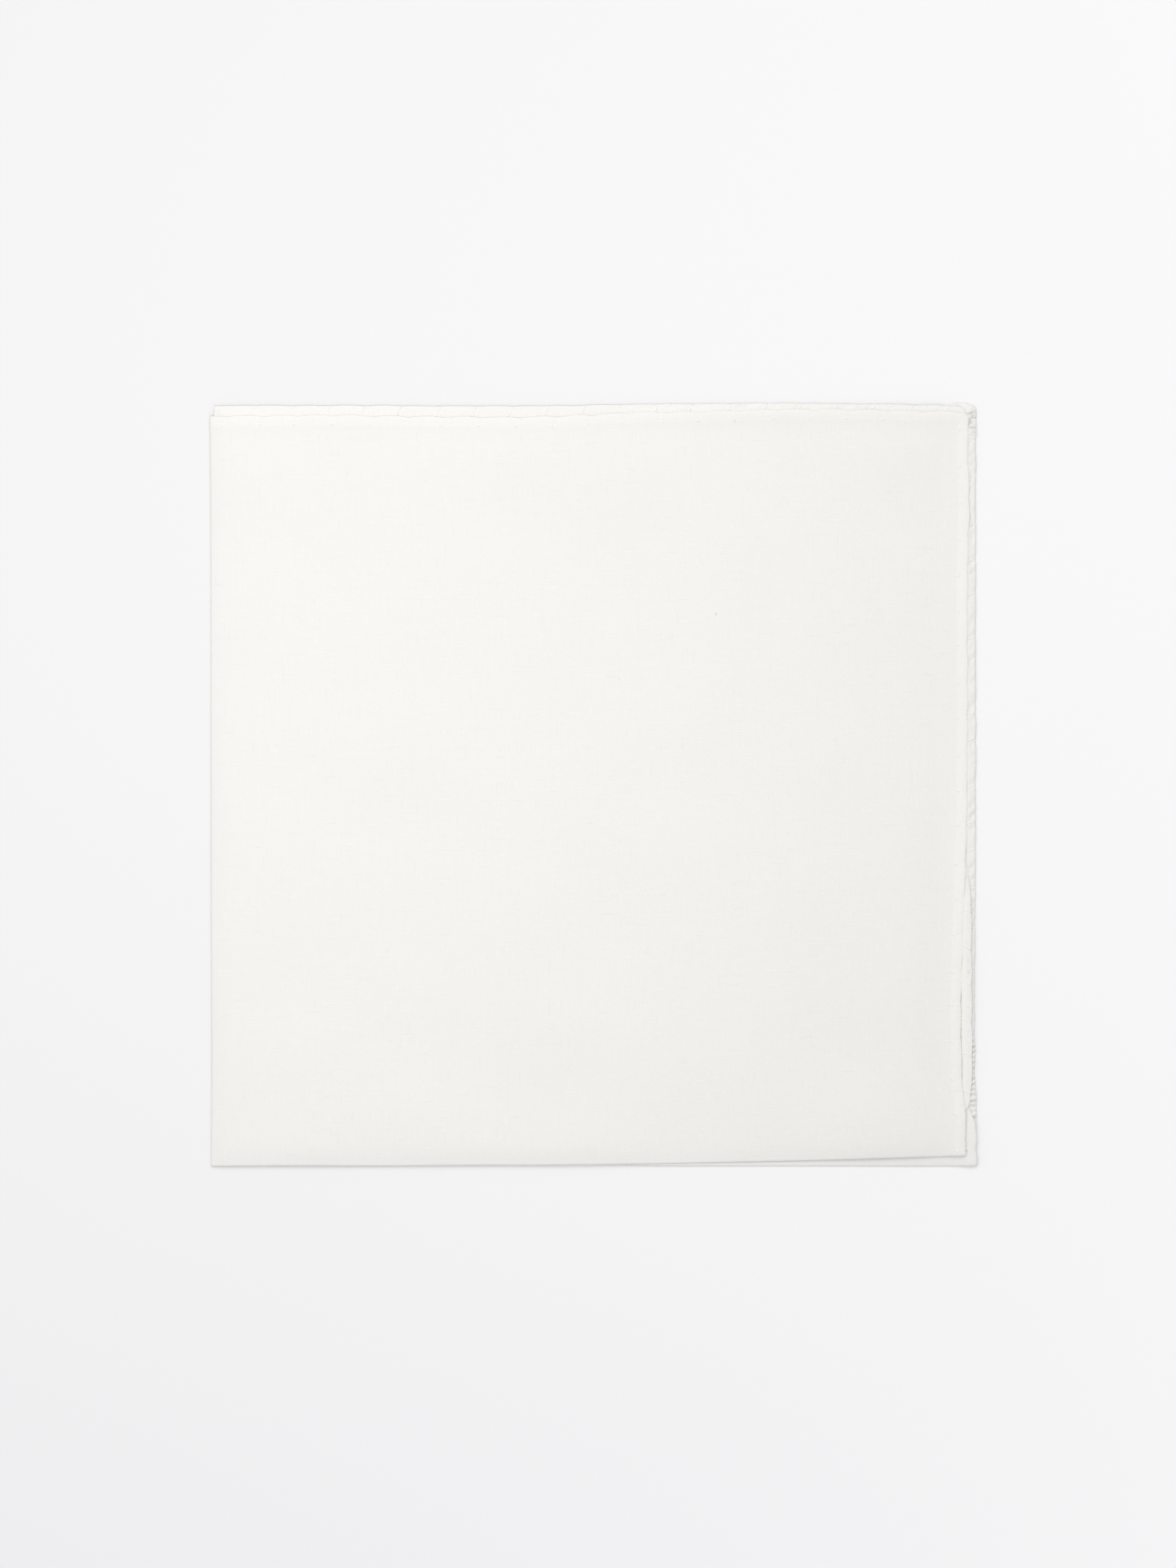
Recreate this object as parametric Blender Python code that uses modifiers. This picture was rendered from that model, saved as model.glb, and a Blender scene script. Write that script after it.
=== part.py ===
"""Cotton square scarf with rolled hems, folded in quarters and lying flat.

The scarf is one square of cloth, so it is one solid.  It is folded in half about a line along its
front, and the pair of layers is folded in half again about a line along its left.  Four layers then
lie on each other, numbered here from the top one down:

    layers 1 and 2, the upper pair, join in a fold along the front edge, and so do layers 3 and 4;
    layers 1 and 4, the outer layers, join round the outside of the left fold;
    layers 2 and 3, the inner layers, join round the inside of the left fold.

The four rolled hems lie open along the right and the back.  Each is rolled onto the face that is
inside the first fold, so layers 1 and 3 hide their rolls underneath, and 2 and 4 carry them on top.

+X points to the open right edges, +Y to the open back edges and +Z up.  The origin is the middle of
the underside.  Run it with: blender --background --python part.py
"""
import math
from typing import NamedTuple

import bmesh
import bpy

MM = 0.001

# Driving dimensions of the cloth and of its stack of layers.
CLOTH_THICKNESS = 1.0 * MM
HEM_RISE = 0.3 * MM            # how far the rolled hem stands out of the cloth's inner face
BODY_GAP = 0.4 * MM            # air between two layers away from the hems
HEM_GAP = 0.35 * MM            # air between two layers where hems lie on each other
SETTLE_REACH = 28.0 * MM       # distance in from a hem over which the layers come down off it

# Outline of the folded square.
LEFT_EDGE = -82.3 * MM         # outer face of the left fold
NOMINAL_RIGHT = 80.0 * MM
NOMINAL_BACK = 80.0 * MM
NOMINAL_FRONT = -81.0 * MM

# Steps of the grid that is folded.
FOLD_STEPS = 5                 # faces in each quarter turn of a fold
RUN_FRACTIONS = (0.05, 0.10, 0.16, 0.24, 0.34, 0.48, 0.64, 0.80, 0.88, 0.95, 1.0)

NODE_NAME = "scarf_cloth"
COLLECTION_NAME = "cotton_scarf"
QUARTER_TURN = math.pi / 2


class LayerEdges(NamedTuple):
    """Where the hem edge of each layer runs, at one station along it, in millimetres."""
    at: float
    layer_1: float
    layer_2: float
    layer_3: float
    layer_4: float


class FrontFolds(NamedTuple):
    """Outer faces of the two folds along the front, at one station along X, in millimetres."""
    at: float
    upper_pair: float
    lower_pair: float


class HemRow(NamedTuple):
    """One line along a rolled hem: its distance in from the edge and its share of the roll."""
    inset: float               # millimetres
    bulge: float               # share of the roll's full rise
    trim: float                # thickness taken off to round the edge, millimetres


# Right edges: stations are Y, values are X.  Layer 3 shows at the front corner only, and layer 2
# slides out from under layer 1 along the front half.
RIGHT_EDGES = (
    LayerEdges(at=-81.0, layer_1=80.0, layer_2=80.0, layer_3=82.1, layer_4=82.1),
    LayerEdges(at=-73.0, layer_1=80.0, layer_2=80.1, layer_3=82.2, layer_4=82.3),
    LayerEdges(at=-66.0, layer_1=79.3, layer_2=81.1, layer_3=80.9, layer_4=82.1),
    LayerEdges(at=-49.0, layer_1=78.9, layer_2=81.2, layer_3=79.8, layer_4=82.0),
    LayerEdges(at=-29.0, layer_1=79.6, layer_2=81.1, layer_3=79.6, layer_4=81.9),
    LayerEdges(at=-9.0, layer_1=80.1, layer_2=79.9, layer_3=79.6, layer_4=82.0),
    LayerEdges(at=40.0, layer_1=80.3, layer_2=79.7, layer_3=79.8, layer_4=82.0),
    LayerEdges(at=80.0, layer_1=80.3, layer_2=80.2, layer_3=80.6, layer_4=82.2),
)

# Back edges: stations are X, values are Y.
BACK_EDGES = (
    LayerEdges(at=-82.0, layer_1=79.2, layer_2=81.0, layer_3=80.6, layer_4=79.6),
    LayerEdges(at=0.0, layer_1=79.4, layer_2=81.4, layer_3=80.9, layer_4=79.8),
    LayerEdges(at=30.0, layer_1=79.6, layer_2=81.9, layer_3=81.4, layer_4=80.3),
    LayerEdges(at=60.0, layer_1=79.7, layer_2=81.8, layer_3=81.2, layer_4=80.9),
    LayerEdges(at=80.0, layer_1=79.8, layer_2=81.9, layer_3=81.7, layer_4=82.2),
)

# Front edges: stations are X, values are Y.  The upper pair's fold draws back towards the right.
FRONT_FOLDS = (
    FrontFolds(at=-82.0, upper_pair=-82.1, lower_pair=-82.1),
    FrontFolds(at=0.0, upper_pair=-81.9, lower_pair=-82.2),
    FrontFolds(at=30.0, upper_pair=-81.1, lower_pair=-82.2),
    FrontFolds(at=60.0, upper_pair=-80.4, lower_pair=-82.1),
    FrontFolds(at=80.0, upper_pair=-79.8, lower_pair=-82.1),
)

# The rolled hem, from the cloth beside it to its edge.
HEM_PROFILE = (
    HemRow(inset=2.7, bulge=0.0, trim=0.0),
    HemRow(inset=2.3, bulge=0.8, trim=0.0),
    HemRow(inset=1.3, bulge=1.0, trim=0.0),
    HemRow(inset=0.4, bulge=1.0, trim=0.1),
    HemRow(inset=0.0, bulge=1.0, trim=0.6),
)


class GridLine(NamedTuple):
    """A line of the grid, placed along one direction of the folded cloth."""
    side: int                  # +1 on the upper pair or the outer layers, -1 on the others
    turn: float                # angle still to go round the fold, a quarter turn at its apex
    run: float                 # fraction of the way from the fold to the hem
    hem: HemRow


class Levels(NamedTuple):
    """Heights and radii of the stack's middle surfaces at one place."""
    middle: float              # height of the left fold's centre line
    ring: float                # radius from there to the middle between outer and inner layer
    half_gap: float            # from the middle of a pair to either of its layers


def smooth_step(fraction):
    """A 0 to 1 ramp that starts and ends level."""
    clamped = min(max(fraction, 0.0), 1.0)
    return clamped * clamped * (3.0 - 2.0 * clamped)


def mix(first, second, share):
    """The value at a share of the way from first to second."""
    return first + (second - first) * share


def read_table(table, station):
    """All the columns of a table at a station in metres, eased between rows, in metres."""
    place = station / MM
    rows = zip(table, table[1:])
    before, after = next((pair for pair in rows if place <= pair[1].at), table[-2:])
    share = smooth_step((place - before.at) / (after.at - before.at))
    return [mix(low, high, share) * MM for low, high in zip(before[1:], after[1:])]


def stack_levels(inner_pitch, outer_pitch):
    """Levels of four layers whose pairs are inner_pitch apart, with outer_pitch between pairs."""
    bottom = CLOTH_THICKNESS / 2
    top = bottom + 2 * inner_pitch + outer_pitch
    return Levels(
        middle=(top + bottom) / 2,
        ring=(inner_pitch + outer_pitch) / 2,
        half_gap=inner_pitch / 2,
    )


BODY_LEVELS = stack_levels(CLOTH_THICKNESS + BODY_GAP, CLOTH_THICKNESS + BODY_GAP)
HEM_LEVELS = stack_levels(CLOTH_THICKNESS + 2 * HEM_RISE + HEM_GAP, CLOTH_THICKNESS + HEM_GAP)


def levels_at(x, y):
    """Levels at a place: the layers lie lower inside than on the hems."""
    from_right = smooth_step(1.0 - (NOMINAL_RIGHT - x) / SETTLE_REACH)
    from_back = smooth_step(1.0 - (NOMINAL_BACK - y) / SETTLE_REACH)
    share = 1.0 - (1.0 - from_right) * (1.0 - from_back)
    return Levels(*(mix(body, hem, share) for body, hem in zip(BODY_LEVELS, HEM_LEVELS)))


def grid_lines():
    """Lines of one direction of the grid, from one hem edge through the fold to the other."""
    flat_row = HEM_PROFILE[0]
    half = [(QUARTER_TURN * (1.0 - step / FOLD_STEPS), 0.0, flat_row)
            for step in range(1, FOLD_STEPS + 1)]
    half += [(0.0, fraction, flat_row) for fraction in RUN_FRACTIONS]
    half += [(0.0, 1.0, row) for row in HEM_PROFILE[1:]]
    far = [GridLine(-1, *line) for line in reversed(half)]
    apex = GridLine(1, QUARTER_TURN, 0.0, flat_row)
    return far + [apex] + [GridLine(1, *line) for line in half]


def by_layer(values, upper_share, outer_share):
    """Mixes four values, one for each layer, by how far a place belongs to each."""
    layer_1, layer_2, layer_3, layer_4 = values
    upper = mix(layer_2, layer_1, outer_share)
    lower = mix(layer_3, layer_4, outer_share)
    return mix(lower, upper, upper_share)


def cloth_point(across, along):
    """Middle of the cloth at two grid lines, one across the left fold and one along it."""
    upper = across.side * math.cos(across.turn)
    outer = along.side * math.cos(along.turn)
    upper_share = (1.0 + upper) / 2
    outer_share = (1.0 + outer) / 2

    nominal_x = mix(LEFT_EDGE, NOMINAL_RIGHT, across.run)
    nominal_y = mix(NOMINAL_FRONT, NOMINAL_BACK, along.run)
    levels = levels_at(nominal_x, nominal_y)
    bulge = max(across.hem.bulge, along.hem.bulge)
    half_gap = levels.half_gap - bulge * HEM_RISE / 2
    radius = levels.ring + half_gap * outer

    turn_centre_x = LEFT_EDGE + CLOTH_THICKNESS / 2 + levels.ring + levels.half_gap
    edge_x = by_layer(read_table(RIGHT_EDGES, nominal_y), upper_share, outer_share)
    flat_x = mix(turn_centre_x, edge_x - across.hem.inset * MM, across.run)
    x = flat_x - radius * math.sin(across.turn)

    upper_fold, lower_fold = read_table(FRONT_FOLDS, nominal_x)
    front_edge = mix(lower_fold, upper_fold, upper_share)
    turn_centre_y = front_edge + CLOTH_THICKNESS / 2 + levels.half_gap
    edge_y = by_layer(read_table(BACK_EDGES, nominal_x), upper_share, outer_share)
    flat_y = mix(turn_centre_y, edge_y - along.hem.inset * MM, along.run)
    y = flat_y - half_gap * math.sin(along.turn)

    return x, y, levels.middle + radius * upper


def cloth_thickness(across, along):
    """Thickness of the cloth at two grid lines: fuller in the hems and rounded at their edges."""
    bulge = max(across.hem.bulge, along.hem.bulge)
    trim = max(across.hem.trim, along.hem.trim)
    return CLOTH_THICKNESS + bulge * HEM_RISE - trim * MM


def cloth_material():
    """Plain white cotton."""
    material = bpy.data.materials.new("white_cotton")
    material.use_nodes = True
    shader = material.node_tree.nodes["Principled BSDF"]
    shader.inputs["Base Color"].default_value = (0.91, 0.90, 0.87, 1.0)
    shader.inputs["Roughness"].default_value = 0.9
    shader.inputs["Metallic"].default_value = 0.0
    return material


def fold_cloth():
    """The whole cloth: a flat grid laid into its folds, then given its thickness."""
    lines = grid_lines()
    steps = len(lines) - 1
    sheet = bmesh.new()
    bmesh.ops.create_grid(sheet, x_segments=steps, y_segments=steps, size=0.5)
    weights = sheet.verts.layers.deform.verify()
    fullest = CLOTH_THICKNESS + HEM_RISE
    for corner in sheet.verts:
        across = lines[round((corner.co.x + 0.5) * steps)]
        along = lines[round((corner.co.y + 0.5) * steps)]
        corner.co = cloth_point(across, along)
        corner[weights][0] = cloth_thickness(across, along) / fullest
    mesh = bpy.data.meshes.new(NODE_NAME)
    sheet.to_mesh(mesh)
    sheet.free()
    mesh.shade_smooth()

    cloth = bpy.data.objects.new(NODE_NAME, mesh)
    thickness_group = cloth.vertex_groups.new(name="thickness")
    mesh.materials.append(cloth_material())
    shell = cloth.modifiers.new("thickness", "SOLIDIFY")
    shell.thickness = fullest
    shell.offset = 0.0
    shell.use_even_offset = True
    shell.vertex_group = thickness_group.name
    shell.thickness_vertex_group = 0.0
    return cloth


def main():
    """Clears the scene and builds the scarf in its own collection."""
    for existing in list(bpy.data.objects):
        bpy.data.objects.remove(existing, do_unlink=True)
    collection = bpy.data.collections.new(COLLECTION_NAME)
    bpy.context.scene.collection.children.link(collection)
    collection.objects.link(fold_cloth())


main()
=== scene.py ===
"""Cotton square scarf with rolled hems, folded in quarters: its finished look.

The scarf is one thin sheet of cotton lawn.  A place on the open cloth is given by p, across the last
fold, and q, across the first one.  Both are 0 on their fold and reach half a side at the hems:

    top layer:    p > 0, q > 0          second layer:  p > 0, q < 0
    base layer:   p < 0, q > 0          third layer:   p < 0, q < 0

LayerStack settles the four layers on one another, and QuarterFold lays every place of the open cloth
into the folded shape.  RolledHem gives the cloth its two faces and the rolls along its edges, which
lie on the face that is inside the first fold.  HemStitching sews them with Geometry Nodes, and Studio
sets the floor, the light and the camera.
"""

import logging
import math
from dataclasses import dataclass, field
from enum import Enum
from typing import Any, NamedTuple

import bpy
import numpy as np
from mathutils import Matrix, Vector


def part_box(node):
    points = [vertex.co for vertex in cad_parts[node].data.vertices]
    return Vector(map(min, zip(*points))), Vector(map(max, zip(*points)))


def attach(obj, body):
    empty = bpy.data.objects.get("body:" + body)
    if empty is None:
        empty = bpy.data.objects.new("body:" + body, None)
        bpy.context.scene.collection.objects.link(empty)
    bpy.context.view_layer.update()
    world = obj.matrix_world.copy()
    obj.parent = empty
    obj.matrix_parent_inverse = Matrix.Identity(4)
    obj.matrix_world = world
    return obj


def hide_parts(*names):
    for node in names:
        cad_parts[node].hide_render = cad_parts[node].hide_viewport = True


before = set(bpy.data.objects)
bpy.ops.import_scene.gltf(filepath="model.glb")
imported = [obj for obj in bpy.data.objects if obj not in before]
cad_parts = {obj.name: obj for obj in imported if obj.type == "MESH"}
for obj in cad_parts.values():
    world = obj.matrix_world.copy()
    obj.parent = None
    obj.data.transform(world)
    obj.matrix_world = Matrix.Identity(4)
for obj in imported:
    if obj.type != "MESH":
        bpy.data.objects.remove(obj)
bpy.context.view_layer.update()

MM = 0.001
CLOTH_NODE = "scarf_cloth"
BODY = "root"
FLAT_MAP = "cloth_flat"        # UV map in the open cloth's own square, both faces alike
HALF_SIDE = 163.5              # from a fold line to a hem edge on the open cloth, in mm
THICKNESS = 0.11 * MM          # of the cloth
VIEW_CENTRE = (-1.28 * MM, 0.0, 1.0 * MM)

log = logging.getLogger("scarf")


class LayerInsets(NamedTuple):
    """How far in from the folded outline each layer's hem edge lies, at one station, in mm."""
    at: float
    top: float
    second: float
    third: float
    base: float


class FoldInsets(NamedTuple):
    """How far in from the front each pair's fold lies, at one station, in mm."""
    at: float
    upper_pair: float
    lower_pair: float


class LeftInset(NamedTuple):
    """How far in from the left the last fold lies, at one station, in mm."""
    at: float
    fold: float


class RollThickness(NamedTuple):
    """Thickness of a rolled hem at one place along it, both in mm."""
    at: float
    roll: float


# Right hems: stations are distances from the front.  The second layer slides out from under the top
# one along the front half, and the third shows at the front corner only.
RIGHT_INSETS = (
    LayerInsets(at=0.0, top=2.40, second=2.40, third=0.00, base=0.05),
    LayerInsets(at=2.6, top=2.42, second=2.80, third=0.05, base=0.12),
    LayerInsets(at=4.0, top=2.45, second=3.00, third=0.32, base=0.38),
    LayerInsets(at=5.4, top=2.42, second=3.00, third=0.10, base=0.16),
    LayerInsets(at=8.0, top=2.40, second=3.00, third=0.22, base=0.22),
    LayerInsets(at=9.5, top=2.42, second=2.60, third=0.35, base=0.15),
    LayerInsets(at=11.2, top=2.52, second=1.65, third=1.00, base=0.05),
    LayerInsets(at=13.0, top=2.75, second=1.35, third=1.80, base=0.10),
    LayerInsets(at=15.5, top=3.05, second=1.15, third=2.50, base=0.20),
    LayerInsets(at=19.0, top=3.20, second=1.05, third=2.70, base=0.35),
    LayerInsets(at=34.5, top=3.40, second=1.10, third=2.90, base=0.50),
    LayerInsets(at=41.5, top=3.20, second=1.15, third=2.90, base=0.45),
    LayerInsets(at=57.0, top=2.65, second=1.35, third=2.90, base=0.40),
    LayerInsets(at=65.0, top=2.45, second=2.20, third=3.20, base=0.35),
    LayerInsets(at=73.0, top=2.15, second=3.00, third=3.80, base=0.30),
    LayerInsets(at=85.0, top=2.10, second=3.80, third=4.30, base=0.30),
    LayerInsets(at=100.0, top=2.00, second=4.20, third=4.60, base=0.30),
    LayerInsets(at=132.0, top=1.90, second=4.30, third=4.60, base=0.30),
    LayerInsets(at=146.0, top=1.60, second=4.00, third=4.60, base=0.30),
    LayerInsets(at=158.0, top=1.90, second=2.80, third=4.00, base=0.25),
    LayerInsets(at=164.4, top=1.60, second=2.00, third=3.60, base=0.05),
)

# Back hems: stations are distances from the left.
BACK_INSETS = (
    LayerInsets(at=0.0, top=3.10, second=0.90, third=1.30, base=3.30),
    LayerInsets(at=20.0, top=2.90, second=0.85, third=1.30, base=3.00),
    LayerInsets(at=81.0, top=2.85, second=0.80, third=1.20, base=2.80),
    LayerInsets(at=88.0, top=2.45, second=0.65, third=1.10, base=2.60),
    LayerInsets(at=105.0, top=2.10, second=0.50, third=1.00, base=2.20),
    LayerInsets(at=118.0, top=1.80, second=0.38, third=0.90, base=2.00),
    LayerInsets(at=129.0, top=1.60, second=0.42, third=0.90, base=1.80),
    LayerInsets(at=147.0, top=1.80, second=0.60, third=0.90, base=1.60),
    LayerInsets(at=156.0, top=2.00, second=0.80, third=0.90, base=1.10),
    LayerInsets(at=160.5, top=2.10, second=0.90, third=0.90, base=0.30),
    LayerInsets(at=164.6, top=2.20, second=1.00, third=0.90, base=0.05),
)

# Front folds: stations are distances from the left.
FRONT_INSETS = (
    FoldInsets(at=0.0, upper_pair=0.10, lower_pair=0.00),
    FoldInsets(at=18.0, upper_pair=0.20, lower_pair=0.10),
    FoldInsets(at=37.0, upper_pair=0.15, lower_pair=0.00),
    FoldInsets(at=57.0, upper_pair=0.30, lower_pair=0.25),
    FoldInsets(at=77.0, upper_pair=0.35, lower_pair=0.30),
    FoldInsets(at=89.0, upper_pair=0.50, lower_pair=0.15),
    FoldInsets(at=110.0, upper_pair=0.90, lower_pair=0.10),
    FoldInsets(at=134.0, upper_pair=1.40, lower_pair=0.10),
    FoldInsets(at=154.0, upper_pair=2.00, lower_pair=0.05),
    FoldInsets(at=164.6, upper_pair=2.30, lower_pair=0.10),
)

# Left fold: stations are distances from the front.
LEFT_INSETS = (
    LeftInset(at=0.0, fold=0.00),
    LeftInset(at=10.0, fold=0.10),
    LeftInset(at=60.0, fold=0.05),
    LeftInset(at=100.0, fold=0.00),
    LeftInset(at=150.0, fold=-0.10),
    LeftInset(at=164.4, fold=-0.25),
)


def smooth_step(value: np.ndarray) -> np.ndarray:
    """Ramps from 0 to 1 with level ends."""
    clamped = np.clip(value, 0.0, 1.0)
    return clamped * clamped * (3.0 - 2.0 * clamped)


def mix(first: np.ndarray, second: np.ndarray, share: np.ndarray) -> np.ndarray:
    """The value at a share of the way from first to second."""
    return first + (second - first) * share


def hump(distance: np.ndarray, width: float) -> np.ndarray:
    """A bell of height 1 at distance 0 that has faded out at about twice its width."""
    return np.exp(-((distance / width) ** 2))


def new_object(name: str, data: bpy.types.ID) -> bpy.types.Object:
    """Makes an object and puts it into the scene.

    Args:
        name: name of the object.
        data: its mesh, light or camera.

    Returns:
        The object.
    """
    made = bpy.data.objects.new(name, data)
    bpy.context.scene.collection.objects.link(made)
    return made


@dataclass(frozen=True)
class EdgeTable:
    """Sizes read smoothly along one side.

    Args:
        rows: named rows, whose first column is the station.
    """
    rows: tuple

    def read(self, station: np.ndarray) -> list[np.ndarray]:
        """Reads every column at the given stations.

        Args:
            station: distances along the side, in metres.

        Returns:
            One array for each column after the first, in metres.
        """
        table = np.array(self.rows)
        at = table[:, 0]
        place = np.clip(station / MM, at[0], at[-1])
        after = np.clip(np.searchsorted(at, place), 1, len(at) - 1)
        before = after - 1
        gap = at[after] - at[before]
        share = (place - at[before]) / gap
        columns = []
        for column in table[:, 1:].T:
            slope = np.gradient(column, at)
            rise = smooth_step(share)
            bend_in = share * (1.0 - share) ** 2 * gap * slope[before]
            bend_out = share ** 2 * (share - 1.0) * gap * slope[after]
            columns.append((mix(column[before], column[after], rise) + bend_in + bend_out) * MM)
        return columns


@dataclass(frozen=True)
class Waviness:
    """Slow unevenness: a few long waves that never line up.

    Args:
        length: the longest wave.
        seed: fixes their directions and phases.
        waves: how many waves are added.
    """
    length: float
    seed: int
    waves: int = 5

    STEP = 0.6                     # how much denser each further wave is, as a share of the first
    STRAY = 0.3                    # how far it strays from that along a line

    def at(self, x: np.ndarray, y: np.ndarray) -> np.ndarray:
        """Unevenness over a plane.

        Args:
            x: places across it.
            y: places along it.

        Returns:
            Values from about -1 to 1.
        """
        draw = np.random.default_rng(self.seed)
        total = np.zeros(np.broadcast(x, y).shape)
        for step in range(self.waves):
            turn, phase = draw.uniform(0.0, math.tau, 2)
            pitch = math.tau / self.length * (1.0 + self.STEP * step)
            total = total + np.sin((x * math.cos(turn) + y * math.sin(turn)) * pitch + phase)
        return total / math.sqrt(2.0 * self.waves)

    def along(self, place: np.ndarray) -> np.ndarray:
        """Unevenness along a line.

        Args:
            place: places on the line.

        Returns:
            Values from about -1 to 1.
        """
        draw = np.random.default_rng(self.seed)
        total = np.zeros(np.shape(place))
        for step in range(self.waves):
            shorter = 1.0 + self.STEP * step + draw.uniform(0.0, self.STRAY)
            pitch = math.tau / self.length * shorter
            total = total + np.sin(place * pitch + draw.uniform(0.0, math.tau))
        return total / math.sqrt(2.0 * self.waves)


class Layer(Enum):
    """The four layers, counted from the top."""
    TOP = 1
    SECOND = 2
    THIRD = 3
    BASE = 4

    @property
    def across_sign(self) -> float:
        """Sign of p on this layer."""
        return 1.0 if self in (Layer.TOP, Layer.SECOND) else -1.0

    @property
    def along_sign(self) -> float:
        """Sign of q on this layer."""
        return 1.0 if self in (Layer.TOP, Layer.BASE) else -1.0

    @property
    def rolls_up(self) -> bool:
        """Whether this layer's hems are rolled onto its upper side."""
        return self in (Layer.SECOND, Layer.BASE)


def by_layer(values: list[np.ndarray], upper_share: np.ndarray, outer_share: np.ndarray) -> np.ndarray:
    """Mixes four values, from the top layer to the base, by how far a place belongs to each.

    Args:
        values: one value for each layer.
        upper_share: 1 on the upper pair and 0 on the lower one.
        outer_share: 1 on the top and base layers and 0 on the two between them.

    Returns:
        The mixed value.
    """
    top, second, third, base = values
    return mix(mix(third, base, outer_share), mix(second, top, outer_share), upper_share)


@dataclass(frozen=True)
class Outline:
    """The folded cloth's edges in plan.

    Args:
        low: lowest corner of the frame's box.
        high: highest corner of the frame's box.
    """
    low: Vector
    high: Vector

    def right(self, y: np.ndarray) -> list[np.ndarray]:
        """X of the layers' right hems, from the top layer to the base."""
        return [self.high.x - inset for inset in EdgeTable(RIGHT_INSETS).read(y - self.low.y)]

    def back(self, x: np.ndarray) -> list[np.ndarray]:
        """Y of the layers' back hems, from the top layer to the base."""
        return [self.high.y - inset for inset in EdgeTable(BACK_INSETS).read(x - self.low.x)]

    def front(self, x: np.ndarray) -> list[np.ndarray]:
        """Y of the upper and of the lower pair's fold."""
        return [self.low.y + inset for inset in EdgeTable(FRONT_INSETS).read(x - self.low.x)]

    def left(self, y: np.ndarray) -> np.ndarray:
        """X of the last fold."""
        return self.low.x + EdgeTable(LEFT_INSETS).read(y - self.low.y)[0]

    def from_flat(self, p: np.ndarray, q: np.ndarray, half_side: float) -> tuple[np.ndarray, np.ndarray]:
        """Works out roughly where places of the open cloth lie in plan.

        Args:
            p: places across the last fold.
            q: places across the first fold.
            half_side: from a fold line to a hem edge on the open cloth.

        Returns:
            X and Y.
        """
        x = self.low.x + np.abs(p) / half_side * (self.high.x - self.low.x)
        y = self.low.y + np.abs(q) / half_side * (self.high.y - self.low.y)
        return x, y


@dataclass(frozen=True)
class HemLine:
    """One of the four hems and its stitches.

    Args:
        phase: where a stitch lies along the hem.
        seed: fixes the stitches' small irregularities.
        rolls: thickness of the roll along the hem, from one end to the other.
        scallop: how far a stitch pulls the edge in.
        fastened: stretches where the thread was fastened with close stitches.
        broad: width of this hem's roll, in usual widths.
        relief: depth of its grooves and dents, in usual depths.
        pitch: from stitch to stitch.
        jitter: how far a stitch strays along the hem.
    """
    phase: float
    seed: int
    rolls: tuple
    scallop: float
    fastened: tuple = ()
    broad: float = 1.0
    relief: float = 1.0
    pitch: float = 7.9 * MM
    jitter: float = 0.35 * MM

    HALF_COUNT = 24
    WEAKEST_PULL = 0.55
    CLOSE_PITCH = 0.85 * MM
    FASTENED_FADE = 2.0 * MM
    SWAY_SHARPNESS = 1.5

    def strays(self) -> tuple[np.ndarray, np.ndarray]:
        """Draws the stitches' irregularities.

        Returns:
            Each stitch's stray along the hem and its pull, from the first stitch to the last.
        """
        draw = np.random.default_rng(self.seed)
        count = 2 * self.HALF_COUNT + 1
        return draw.uniform(-self.jitter, self.jitter, count), draw.uniform(self.WEAKEST_PULL, 1.0, count)

    def stitches(self, reach: float) -> np.ndarray:
        """Works out where the stitches lie.

        Args:
            reach: how far from the hem's middle the usual ones go on.

        Returns:
            Places of the usual stitches and then of the close ones.
        """
        step = np.arange(-self.HALF_COUNT, self.HALF_COUNT + 1)
        place = self.phase + step * self.pitch + self.strays()[0]
        return np.concatenate([place[np.abs(place) < reach]] + self.close())

    def frayed(self, along: np.ndarray) -> np.ndarray:
        """Marks where the thread was fastened with close stitches.

        Args:
            along: places along the hem.

        Returns:
            1 there, and 0 elsewhere.
        """
        total = np.zeros_like(along)
        for start, end in self.fastened:
            middle, half = (start + end) / 2, (end - start) / 2
            inside = half + self.FASTENED_FADE / 2 - np.abs(along - middle)
            total = total + smooth_step(inside / self.FASTENED_FADE)
        return total

    def close(self) -> list[np.ndarray]:
        """Places of the close stitches, stretch by stretch."""
        return [np.arange(start, end, self.CLOSE_PITCH) for start, end in self.fastened]

    def pinch(self, along: np.ndarray, width: float) -> np.ndarray:
        """Works out how strongly the nearest stitch pinches the hem.

        Args:
            along: places along the hem.
            width: how wide a pinch is.

        Returns:
            Values from 0 to 1.
        """
        stray, pull = self.strays()
        step = np.rint((along - self.phase) / self.pitch).astype(int)
        index = np.clip(step + self.HALF_COUNT, 0, len(stray) - 1)
        distance = along - (self.phase + step * self.pitch + stray[index])
        return pull[index] * hump(distance, width)

    def sway(self, along: np.ndarray) -> np.ndarray:
        """Broad scallops between the stitches: 1 at a stitch and 0 half way to the next."""
        turn = (along - self.phase) * math.tau / self.pitch
        return (0.5 + 0.5 * np.cos(turn)) ** self.SWAY_SHARPNESS

    def roll(self, along: np.ndarray) -> np.ndarray:
        """Thickness of the roll at places along the hem."""
        return EdgeTable(self.rolls).read(along)[0]


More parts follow.
